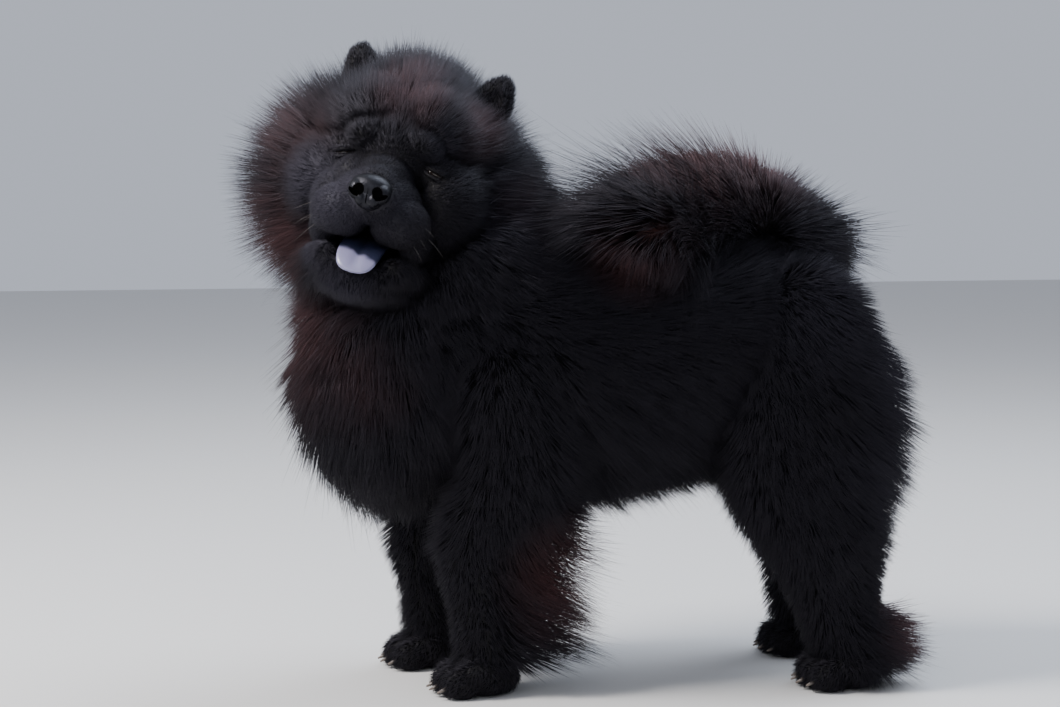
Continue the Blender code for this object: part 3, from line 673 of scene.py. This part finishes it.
# No coat on the nose, the lids' rims, inside the mouth or under the feet
own, own_normal = in_head(roots), normals @ TURN_IN.T
bare = (((own - np.array(NOSE) - [0, 0, -0.001]) / [0.022, 0.0225, 0.0185]) ** 2).sum(1) < 1
for side in (1, -1):
    offset = own - [EYE_DEPTH, EYE_SPREAD * side, 0]
    tilt = math.radians(EYE_SLANT * side)
    rise = -math.sin(tilt) * offset[:, 1] + math.cos(tilt) * offset[:, 2]
    bare |= (np.linalg.norm(offset, axis=1) < 0.0165) & (np.abs(rise) < 0.0017)
in_mouth = (own[:, 0] > -0.045) & (np.abs(own[:, 1]) < 0.056)
bare |= in_mouth & (own_normal[:, 2] < -0.88) & (own[:, 2] > -0.100) & (own[:, 2] < -0.045)
bare |= in_mouth & (own_normal[:, 2] > 0.80) & (own[:, 2] > -0.125) & (own[:, 2] < -0.085) & (np.abs(own[:, 1]) < 0.032)
bare |= roots[:, 2] < 0.004
roots, normals = roots[~bare], normals[~bare]


def closeness(points, stations, grow=0.02):
    """How many radii each point is from the nearest station."""
    nearest = np.full(len(points), 1e9)
    for station in stations:
        away = (points - np.array(station[:3])) / (np.array(station[3:6]) + grow)
        nearest = np.minimum(nearest, (away ** 2).sum(1))
    return np.sqrt(nearest)


MERGE = 0.10
WIDE_MERGE = {"torso": 0.14, "hind_left": 0.18, "hind_right": 0.18}
names, nearness, lies, lengths, rises, ends = [], [], [], [], [], []
own = in_head(roots)
for name, (stations, coat) in COATS.items():
    names.append(name)
    nearness.append(closeness(roots, [tuple(s) for s in along_curve(stations, 3)]))
    made = coat(roots, normals)
    lies.append(unit(made[0]))
    lengths.append(made[1])
    rises.append(made[2] + 0 * made[1])
    ends.append(made[3] + 0 * made[1])
for name, stations, coat, grow in (("head", head_stations, head_coat, 0.02), ("ear", ear_stations, ear_coat, 0.004)):
    names.append(name)
    nearness.append(closeness(own, stations, grow) - (0.10 if name == "head" else 0.12))
    made = coat(roots, normals)
    lies.append(unit(made[0]))
    lengths.append(made[1])
    rises.append(made[2] + 0 * made[1])
    ends.append(made[3] + 0 * made[1])
nearness = np.array(nearness)
owner = nearness.argmin(0)
merge = np.array([[WIDE_MERGE.get(name, MERGE)] for name in names])
weights = np.exp(-(nearness - nearness.min(0)) / merge)
weights /= weights.sum(0)
lie = unit(sum(w[:, None] * v for w, v in zip(weights, lies)))
length = (weights * np.array(lengths)).sum(0)
rise = np.radians((weights * np.array(rises)).sum(0))
end = np.radians((weights * np.array(ends)).sum(0))


# The coat: straight, plush, off-standing hair in fine tufts. Each tuft is a thin three-sided
# blade rooted in the skin, which rises, bends along the lie and leans to its lock's tip.

SPINDLE = np.array([(0, 2, 1), (0, 3, 2), (0, 1, 3), (1, 2, 4), (2, 3, 4), (3, 1, 4)])
SPIKE = np.array([(0, 2, 1), (0, 1, 3), (1, 2, 3), (2, 0, 3)])
PATCH = 0.003


def skin_unwrap(points, normals):
    """Each root's place on a box unwrap of the piece: six faces, side by side and to one scale."""
    face = np.abs(normals).argmax(1) * 2 + (normals[np.arange(len(points)), np.abs(normals).argmax(1)] < 0)
    place = np.zeros((len(points), 2))
    spans, flat = [], {}
    for k in range(6):
        of_face = face == k
        if not of_face.any():
            continue
        axes = [i for i in range(3) if i != k // 2]
        flat[k] = points[of_face][:, axes] - points[of_face][:, axes].min(0)
        spans.append(flat[k].max(0))
    scale = min(0.31 / max(s[0] for s in spans), 0.48 / max(s[1] for s in spans))
    for k, spread in flat.items():
        corner = np.array([(k % 3) / 3 + 0.01, (k // 3) / 2 + 0.01])
        place[face == k] = corner + spread * scale
    return place


WISPS = 0.06
WISP_LONGER, WISP_RISE, WISP_THIN = 1.15, math.radians(12), 0.5
PLUME_WISPS, PLUME_LONGER, PLUME_RISE = 0.16, 1.45, math.radians(26)
SHORT_COATS = ("coat_face", "coat_ears", "coat_paws")
BENT_COATS = ("coat_tail", "coat_neck", "coat_breast")


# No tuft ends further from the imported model's box than this, so the coat keeps the model's size
cad_low, cad_high = (np.array(corner) - np.array(MOVED) for corner in cad_box)
COAT_ROOM = 0.03 * (cad_high - cad_low) + 0.007


def tufts(name, which, count, width, lock_spacing, lock_pull, seed):
    """The coat over the chosen roots, thinned to count, as one piece. A few wisps stand out."""
    draw = np.random.default_rng(seed)
    index = np.flatnonzero(which)
    index = draw.permutation(index)[:count]
    n = len(index)
    p, up = roots[index], normals[index]
    along = lie[index] + draw.normal(0, 0.16, (n, 3))
    along = unit(along - up * (along * up).sum(1, keepdims=True))
    reach = length[index] * draw.uniform(0.78, 1.08, n)

    # Locks: each tuft leans towards the tip of the nearest chosen one
    lock_of = draw.choice(n, max(1, n // lock_spacing), replace=False)
    tree = KDTree(len(lock_of))
    for k, i in enumerate(lock_of):
        tree.insert(p[i], k)
    tree.balance()
    nearest = np.array([tree.find(point)[1] for point in p])
    lock_size = draw.uniform(0.88, 1.10, len(lock_of))
    lock_stray = draw.normal(0, 0.12, (len(lock_of), 3))
    reach = reach * lock_size[nearest]
    along = along + lock_stray[nearest]
    along = unit(along - up * (along * up).sum(1, keepdims=True))
    plume = name == "coat_tail"
    wisp = draw.random(n) < (PLUME_WISPS if plume else WISPS)
    reach = reach * np.where(wisp, PLUME_LONGER if plume else WISP_LONGER, 1)
    steeper = (PLUME_RISE if plume else WISP_RISE) * wisp
    start_rise, end_rise = rise[index] + 0.5 * steeper, end[index] + steeper
    first = up * np.sin(start_rise)[:, None] + along * np.cos(start_rise)[:, None]
    last = up * np.sin(end_rise)[:, None] + along * np.cos(end_rise)[:, None]
    base = p - up * (0.0006 if name in SHORT_COATS else 0.002)
    middle = p + first * (0.5 * reach)[:, None]
    tip = middle + last * (0.5 * reach)[:, None]
    leader = lock_of[nearest]
    pull = (lock_pull * ~wisp)[:, None]
    middle = middle + (middle[leader] - middle) * 0.35 * pull
    tip = tip + (tip[leader] - tip) * pull

    past = np.maximum(tip - cad_high - COAT_ROOM, cad_low - COAT_ROOM - tip)
    inside = 1 - np.clip(past / np.maximum(np.abs(tip - base), 1e-4), 0, 0.9).max(1, keepdims=True)
    inside *= np.where(inside < 1, draw.uniform(0.86, 1.0, (n, 1)), 1)
    middle, tip = base + (middle - base) * inside, base + (tip - base) * inside

    # A straight tuft is three corners at the root and a point at the tip; a bent one is a point at the root, three
    # corners at the bend and a point at the tip
    way = unit(tip - base)
    side = unit(np.cross(up + 0.02, way))
    out = np.cross(way, side)
    roll = draw.uniform(-1.0, 1.0, n)[:, None]
    side, out = side * np.cos(roll) + out * np.sin(roll), out * np.cos(roll) - side * np.sin(roll)
    half = (0.5 * width * draw.uniform(0.75, 1.25, n) * np.where(wisp, WISP_THIN, 1))[:, None]
    straight = name not in BENT_COATS
    ring = base if straight else middle
    points = [] if straight else [base]
    points += [ring - side * half, ring + side * half, ring + out * half, tip]
    verts = np.stack(points, 1)
    of_tuft = len(points)
    verts[:, :, 2] = np.maximum(verts[:, :, 2], 0.0015)
    verts = verts.reshape(-1, 3) + np.array(MOVED)

    mesh = bpy.data.meshes.new(name)
    mesh.vertices.add(of_tuft * n)
    mesh.vertices.foreach_set("co", verts.astype(np.float32).ravel())
    shape = SPIKE if straight else SPINDLE
    faces = (shape[None] + of_tuft * np.arange(n)[:, None, None]).reshape(-1)
    mesh.loops.add(len(faces))
    mesh.loops.foreach_set("vertex_index", faces.astype(np.int32))
    mesh.polygons.add(len(faces) // 3)
    mesh.polygons.foreach_set("loop_start", np.arange(0, len(faces), 3, dtype=np.int32))
    mesh.update(calc_edges=True)
    mesh.shade_smooth()

    # Each tuft's own shade and the distance along it, for the finish
    shade = mesh.attributes.new("shade", "FLOAT", "POINT")
    shade.data.foreach_set("value", np.repeat(draw.random(n), of_tuft).astype(np.float32))
    far = mesh.attributes.new("along", "FLOAT", "POINT")
    far.data.foreach_set("value", np.tile(np.float32([0, 0.5, 0.5, 0.5, 1][-of_tuft:]), n))
    patch = np.float32([(0.5, 0), (0, 0.5), (1, 0.5), (0.5, 0.5), (0.5, 1)][-of_tuft:]) * PATCH
    corner = skin_unwrap(p, up)[:, None, :] + patch[None]
    uv = mesh.uv_layers.new(name="OFBake")
    uv.data.foreach_set("uv", corner.reshape(-1, 2)[faces].astype(np.float32).ravel())

    piece = bpy.data.objects.new(name, mesh)
    bpy.context.scene.collection.objects.link(piece)
    mesh.materials.append(coat_finish)
    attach(piece, "root")
    return piece


coat_finish, nodes, links, shader = new_finish("black coat", BLACK[:3], 0.55)
shader.inputs["Specular IOR Level"].default_value = 0.31
shader.inputs["Specular Tint"].default_value = (0.84, 0.80, 1.0, 1)
colour, place = marked_with_sheen(nodes, links)
far = nodes.new("ShaderNodeAttribute")
far.attribute_name = "along"
shade = nodes.new("ShaderNodeAttribute")
shade.attribute_name = "shade"
lift = nodes.new("ShaderNodeMapRange")
lift.inputs["From Min"].default_value = 0.15
lift.inputs["To Min"].default_value = 0.25
lift.inputs["To Max"].default_value = 1.25
links.new(far.outputs["Fac"], lift.inputs["Value"])
vary = nodes.new("ShaderNodeMapRange")
vary.inputs["To Min"].default_value = 0.7
vary.inputs["To Max"].default_value = 1.5
links.new(shade.outputs["Fac"], vary.inputs["Value"])
both = nodes.new("ShaderNodeMath")
both.operation = "MULTIPLY"
links.new(lift.outputs["Result"], both.inputs[0])
links.new(vary.outputs["Result"], both.inputs[1])
scaled = nodes.new("ShaderNodeVectorMath")
scaled.operation = "SCALE"
links.new(colour, scaled.inputs[0])
links.new(both.outputs[0], scaled.inputs["Scale"])
links.new(scaled.outputs["Vector"], shader.inputs["Base Color"])

HEAD_ID, EAR_ID = names.index("head"), names.index("ear")
is_head = owner == HEAD_ID
short = length < 0.030
own = in_head(roots)
of = {name: owner == k for k, name in enumerate(names)}
GROUPS = [
    ("coat_face", is_head & short, 49000, 0.00058, 90, 0.08),
    ("coat_ruff_right", is_head & ~short & (own[:, 1] < 0), 37000, 0.0010, 40, 0.16),
    ("coat_ruff_left", is_head & ~short & (own[:, 1] >= 0), 35000, 0.0010, 40, 0.16),
    ("coat_ears", of["ear"], 7000, 0.0008, 60, 0.10),
    ("coat_neck", of["neck"], 22000, 0.0011, 45, 0.16),
    ("coat_breast", of["breast"], 16000, 0.0011, 45, 0.18),
    ("coat_flank_left", of["torso"] & (roots[:, 1] >= 0.01), 42000, 0.0012, 45, 0.12),
    ("coat_flank_right", of["torso"] & (roots[:, 1] < 0.01), 27000, 0.0013, 45, 0.12),
    ("coat_tail", of["tail"], 28000, 0.0010, 50, 0.25),
    ("coat_forelegs", of["front_left"] | of["front_right"], 37000, 0.0011, 45, 0.14),
    ("coat_hind_leg_left", of["hind_left"], 34000, 0.0012, 45, 0.12),
    ("coat_hind_leg_right", of["hind_right"], 18000, 0.0013, 45, 0.12),
    ("coat_paws", sum(of[foot + "_paw"] for foot in FEET) > 0, 12000, 0.0009, 60, 0.10),
]
coat_pieces = []
for seed, (name, which, count, width, spacing, pull) in enumerate(GROUPS):
    coat_pieces.append(tufts(name, which, count, width, spacing, pull, seed))

skin.data.transform(ONTO_FRAME)
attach(skin, "root")
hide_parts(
    "torso", "neck", "tail", "head", "lower_jaw", "ear_left", "ear_right",
    "front_leg_left", "front_leg_right", "hind_leg_left", "hind_leg_right",
    "front_paw_left", "front_paw_right", "hind_paw_left", "hind_paw_right",
)


# Eyes: dark brown glass balls set deep behind nearly closed lids.

eye_finish, nodes, links, shader = new_finish("dark eye", (0.012, 0.006, 0.003), 0.10)
shader.inputs["Specular IOR Level"].default_value = 0.28
cloud = nodes.new("ShaderNodeTexNoise")
cloud.inputs["Scale"].default_value = 300
eye_place = nodes.new("ShaderNodeTexCoord")
links.new(eye_place.outputs["Object"], cloud.inputs["Vector"])
iris = nodes.new("ShaderNodeMix")
iris.data_type = "RGBA"
iris.inputs["A"].default_value = (0.004, 0.003, 0.003, 1)
iris.inputs["B"].default_value = (0.016, 0.008, 0.004, 1)
links.new(cloud.outputs["Fac"], iris.inputs["Factor"])
links.new(iris.outputs["Result"], shader.inputs["Base Color"])
for name, side in (("eye_left", 1), ("eye_right", -1)):
    bm = bmesh.new()
    ball(bm, (EYE_DEPTH, EYE_SPREAD * side, 0), (0.0096,) * 3, HEAD, rings=28)
    front = (EYE_DEPTH + 0.0035, EYE_SPREAD * side, 0)
    ball(bm, front, (0.0086, 0.0118, 0.0042), HEAD, (EYE_SLANT * side, 0, 0), rings=28)
    eye = grown_together(name + "_ball", bm, 0.0006, 3)
    eye.data.transform(ONTO_FRAME)
    eye.data.shade_smooth()
    eye.data.materials.clear()
    eye.data.materials.append(eye_finish)
    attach(eye, "root")
    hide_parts(name)


# Nose: broad black leather, with big comma-shaped nostrils and a cleft down the middle.

bm = bmesh.new()
ball(bm, NOSE + Vector((-0.002, 0, 0.004)), (0.0165, 0.0215, 0.0130), HEAD, rings=20)
ball(bm, NOSE + Vector((-0.002, 0, -0.007)), (0.0150, 0.0150, 0.0130), HEAD, rings=20)
for side in (1, -1):
    ball(bm, NOSE + Vector((0.004, 0.0125 * side, -0.001)), (0.0115, 0.0095, 0.0105), HEAD, rings=20)
    ball(bm, NOSE + Vector((0.006, 0.0065 * side, -0.009)), (0.0085, 0.0065, 0.0075), HEAD, rings=20)
nose = grown_together("nose_leather", bm, 0.0007, 3)
holes, hole_places = [], []
for x, y, z, radii, turn in (
    (0.0150, 0.0098, -0.0012, (0.0110, 0.0056, 0.0064), 15),
    (0.0120, 0.0145, -0.0046, (0.0090, 0.0066, 0.0026), 30),
):
    for side in (1, -1):
        bm = bmesh.new()
        centre = NOSE + Vector((x, y * side, z))
        hole_places.append((centre, Vector(radii), math.radians(turn * side)))
        ball(bm, centre, radii, HEAD, (turn * side, 0, 0), rings=16)
        bmesh.ops.triangulate(bm, faces=bm.faces[:])
        holes.append(piece_from(bm, "nostril"))
bm = bmesh.new()
ball(bm, NOSE + Vector((0.0165, 0, -0.012)), (0.0065, 0.0008, 0.0150), HEAD, rings=16)
bmesh.ops.triangulate(bm, faces=bm.faces[:])
holes.append(piece_from(bm, "cleft"))
boolean(nose, holes, "DIFFERENCE")
nose_finish, nodes, links, shader = new_finish("nose leather", (0.004, 0.004, 0.005), 0.34)
shader.inputs["Specular IOR Level"].default_value = 0.22
shader.inputs["Specular Tint"].default_value = (0.84, 0.84, 1.0, 1)
nose_place = nodes.new("ShaderNodeTexCoord")
pebbles = nodes.new("ShaderNodeTexVoronoi")
pebbles.inputs["Scale"].default_value = 950
links.new(nose_place.outputs["Object"], pebbles.inputs["Vector"])
bump = nodes.new("ShaderNodeBump")
bump.inputs["Strength"].default_value = 0.55
bump.inputs["Distance"].default_value = 0.0004
links.new(pebbles.outputs["Distance"], bump.inputs["Height"])
links.new(bump.outputs["Normal"], shader.inputs["Normal"])
# Painted shade: the nostrils' insides are coloured darker than the leather, as deep holes look, and are dull
nostril_painted_shade, nodes, links, shader = new_finish("nostril lining painted shade", (0.0015, 0.0013, 0.0015), 0.85)
shader.inputs["Specular IOR Level"].default_value = 0.05
lining_place = nodes.new("ShaderNodeTexCoord")
shade_noise = nodes.new("ShaderNodeTexNoise")
shade_noise.inputs["Scale"].default_value = 400
links.new(lining_place.outputs["Object"], shade_noise.inputs["Vector"])
depth = nodes.new("ShaderNodeMix")
depth.data_type = "RGBA"
depth.inputs["A"].default_value = (0.0008, 0.0007, 0.0008, 1)
depth.inputs["B"].default_value = (0.0030, 0.0025, 0.0028, 1)
links.new(shade_noise.outputs["Fac"], depth.inputs["Factor"])
links.new(depth.outputs["Result"], shader.inputs["Base Color"])
nose.data.materials.clear()
nose.data.materials.append(nose_finish)
nose.data.materials.append(nostril_painted_shade)
into_head = HEAD.inverted()
# The faces inside the nostrils take the painted shade
for face in nose.data.polygons:
    own_centre = into_head @ face.center
    for centre, radii, turn in hole_places:
        away = Matrix.Rotation(-turn, 3, "X") @ (own_centre - centre)
        if sum((a / r) ** 2 for a, r in zip(away, radii)) < 1.06:
            face.material_index = 1
nose.data.transform(ONTO_FRAME)
nose.data.shade_smooth()
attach(nose, "root")
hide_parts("nose")


# Tongue: blue black, broad and flat, with a soft groove, hanging a little over the lower lip.

bm = bmesh.new()
bmesh.ops.create_uvsphere(bm, u_segments=48, v_segments=24, radius=1)
along_tongue = bm.verts.layers.float.new("along")
for vert in bm.verts:
    x, y, z = vert.co
    full = (1 - abs(x) ** 4) ** 0.25 / max(math.sqrt(1 - x * x), 0.05) if abs(x) < 0.999 else 1.0
    # The stored distance slants across the tongue, so the edge of the painted shadow runs on a slant
    vert[along_tongue] = (x + 1) / 2 - 0.08 * y
    x, y, z = 0.028 + 0.042 * x, 0.0228 * y * full, -0.082 + 0.0050 * z * full
    if z > -0.082:
        z -= 0.0026 * math.exp(-((y / 0.0040) ** 2)) - 0.0018 * (y / 0.0235) ** 2
    z -= 0.25 * max(0, x - 0.010) + 14 * max(0, x - 0.036) ** 2
    vert.co = (x, y, z)
tongue = piece_from(bm, "tongue_blue")
tongue.data.transform(ONTO_FRAME @ HEAD)
tongue.data.shade_smooth()
tongue_finish, nodes, links, shader = new_finish("blue black tongue", (0.10, 0.09, 0.15), 0.38)
shader.inputs["Coat Weight"].default_value = 0.3
shader.inputs["Coat Roughness"].default_value = 0.2
shader.inputs["Subsurface Weight"].default_value = 0.15
shader.inputs["Subsurface Radius"].default_value = (0.004, 0.002, 0.002)
tongue_place = nodes.new("ShaderNodeTexCoord")
buds = nodes.new("ShaderNodeTexNoise")
buds.inputs["Scale"].default_value = 700
buds.inputs["Detail"].default_value = 3
links.new(tongue_place.outputs["Object"], buds.inputs["Vector"])
bump = nodes.new("ShaderNodeBump")
bump.inputs["Strength"].default_value = 0.35
bump.inputs["Distance"].default_value = 0.0004
links.new(buds.outputs["Fac"], bump.inputs["Height"])
links.new(bump.outputs["Normal"], shader.inputs["Normal"])
# Painted light and shadow: the tip is painted pale lavender as if lit, the back dark blue as if in the muzzle's shadow,
# with an uneven edge between
shadow_edge_noise = nodes.new("ShaderNodeTexNoise")
shadow_edge_noise.inputs["Scale"].default_value = 60
links.new(tongue_place.outputs["Object"], shadow_edge_noise.inputs["Vector"])
far = nodes.new("ShaderNodeAttribute")
far.attribute_name = "along"
mixed = nodes.new("ShaderNodeMath")
mixed.operation = "MULTIPLY_ADD"
mixed.inputs[1].default_value = 0.10
links.new(shadow_edge_noise.outputs["Fac"], mixed.inputs[0])
links.new(far.outputs["Fac"], mixed.inputs[2])
painted_lit_tip = nodes.new("ShaderNodeMapRange")
painted_lit_tip.interpolation_type = "SMOOTHSTEP"
painted_lit_tip.inputs["From Min"].default_value = 0.85
painted_lit_tip.inputs["From Max"].default_value = 0.91
links.new(mixed.outputs[0], painted_lit_tip.inputs["Value"])
tongue_lit_and_shaded = nodes.new("ShaderNodeMix")
tongue_lit_and_shaded.data_type = "RGBA"
tongue_lit_and_shaded.inputs["A"].default_value = (0.011, 0.013, 0.032, 1)
tongue_lit_and_shaded.inputs["B"].default_value = (0.19, 0.18, 0.29, 1)
links.new(painted_lit_tip.outputs["Result"], tongue_lit_and_shaded.inputs["Factor"])
links.new(tongue_lit_and_shaded.outputs["Result"], shader.inputs["Base Color"])
tongue.data.materials.append(tongue_finish)
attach(tongue, "root")
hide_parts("tongue")


# Claws: short dark horn with a paler tip, one at the end of each toe.

bm = bmesh.new()
along_claw = bm.verts.layers.float.new("along")
for toe in toes:
    tilt = Matrix.Rotation(math.radians(112), 4, "Y")
    made = bmesh.ops.create_cone(
        bm, cap_ends=True, segments=10, radius1=0.0030, radius2=0.0009, depth=0.013,
        matrix=Matrix.Translation(toe + Vector((0.0205, 0, -0.0045))) @ tilt,
    )
    for vert in made["verts"]:
        vert[along_claw] = 1.0 if vert.co.x > toe.x + 0.0205 else 0.0
claws = piece_from(bm, "claws")
claws.data.transform(ONTO_FRAME)
claws.data.shade_smooth()
claw_finish, nodes, links, shader = new_finish("claw horn", (0.03, 0.025, 0.022), 0.35)
far = nodes.new("ShaderNodeAttribute")
far.attribute_name = "along"
horn = nodes.new("ShaderNodeMix")
horn.data_type = "RGBA"
horn.inputs["A"].default_value = (0.012, 0.010, 0.010, 1)
horn.inputs["B"].default_value = (0.16, 0.13, 0.11, 1)
links.new(far.outputs["Fac"], horn.inputs["Factor"])
links.new(horn.outputs["Result"], shader.inputs["Base Color"])
claws.data.materials.append(claw_finish)
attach(claws, "root")


# Whiskers: a few stiff, thin hairs, paler than the coat, set in rows along the lip pads.

draw = np.random.default_rng(31)
bm = bmesh.new()
for side in (1, -1):
    for row in range(3):
        for k in range(1 + row % 2):
            start = Vector((0.046 - 0.022 * k, (0.045 + 0.004 * k) * side, -0.050 - 0.010 * row))
            way = Vector((0.35 - 0.25 * k, side, -0.25 - 0.25 * row)) + Vector(draw.normal(0, 0.15, 3))
            way.normalize()
            long = draw.uniform(0.022, 0.036)
            points = [start + way * long * t - Vector((0, 0, 0.30 * long * t * t)) for t in (0, 0.35, 0.7, 1)]
            whisker = tube("whisker", points, (0.00022, 0.00018, 0.00012, 0.00005), HEAD, sides=0)
            bm.from_mesh(whisker.data)
            bpy.data.objects.remove(whisker, do_unlink=True)
whiskers = piece_from(bm, "whiskers")
whiskers.data.transform(ONTO_FRAME)
whisker_finish, nodes, links, shader = new_finish("whisker", (0.10, 0.085, 0.075), 0.40)
whisker_place = nodes.new("ShaderNodeTexCoord")
streaks = nodes.new("ShaderNodeTexNoise")
streaks.inputs["Scale"].default_value = 120
links.new(whisker_place.outputs["Object"], streaks.inputs["Vector"])
pale = nodes.new("ShaderNodeMix")
pale.data_type = "RGBA"
pale.inputs["A"].default_value = (0.030, 0.026, 0.024, 1)
pale.inputs["B"].default_value = (0.13, 0.11, 0.10, 1)
links.new(streaks.outputs["Fac"], pale.inputs["Factor"])
links.new(pale.outputs["Result"], shader.inputs["Base Color"])
whiskers.data.materials.append(whisker_finish)
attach(whiskers, "root")


# Floor, studio light and the camera at the photograph's place.

bm = bmesh.new()
bmesh.ops.create_grid(bm, x_segments=1, y_segments=1, size=8)
floor = piece_from(bm, "studio_floor")
floor_finish, nodes, links, shader = new_finish("pale floor", (0.62, 0.61, 0.60), 0.85)
floor.data.materials.append(floor_finish)

world = bpy.data.worlds.new("studio")
bpy.context.scene.world = world
world.use_nodes = True
world.node_tree.nodes["Background"].inputs["Color"].default_value = (0.80, 0.86, 1.0, 1)
world.node_tree.nodes["Background"].inputs["Strength"].default_value = 0.65

CAMERA_PLACE = Vector((0.64817, 2.52031, 0.56)) + MOVED
CAMERA_WAY = Vector((-0.20724, -0.97498, -0.08036))
FOCAL_PIXELS, PHOTO_WIDTH, SENSOR = 2400, 1060, 36
AIM = Vector((0.05, 0.03, 0.33)) + MOVED


def soft_light(name, place, size, power, colour):
    lamp = bpy.data.lights.new(name, "AREA")
    lamp.shape = "DISK"
    lamp.size = size
    lamp.energy = power
    lamp.color = colour
    light = bpy.data.objects.new(name, lamp)
    light.location = place
    light.rotation_euler = (AIM - Vector(place)).to_track_quat("-Z", "Y").to_euler()
    bpy.context.scene.collection.objects.link(light)


soft_light("key", (2.2, 0.4, 2.6), 1.2, 170, (1.0, 0.97, 0.94))
soft_light("sky", (-1.2, -0.6, 2.8), 2.4, 90, (0.80, 0.88, 1.0))
soft_light("fill", (1.4, 3.2, 1.4), 2.5, 40, (0.95, 0.97, 1.0))

lens = bpy.data.cameras.new("photo")
lens.sensor_width = SENSOR
lens.lens = FOCAL_PIXELS / PHOTO_WIDTH * SENSOR
camera = bpy.data.objects.new("photo", lens)
camera.location = CAMERA_PLACE
camera.rotation_euler = CAMERA_WAY.to_track_quat("-Z", "Y").to_euler()
bpy.context.scene.collection.objects.link(camera)
bpy.context.scene.camera = camera
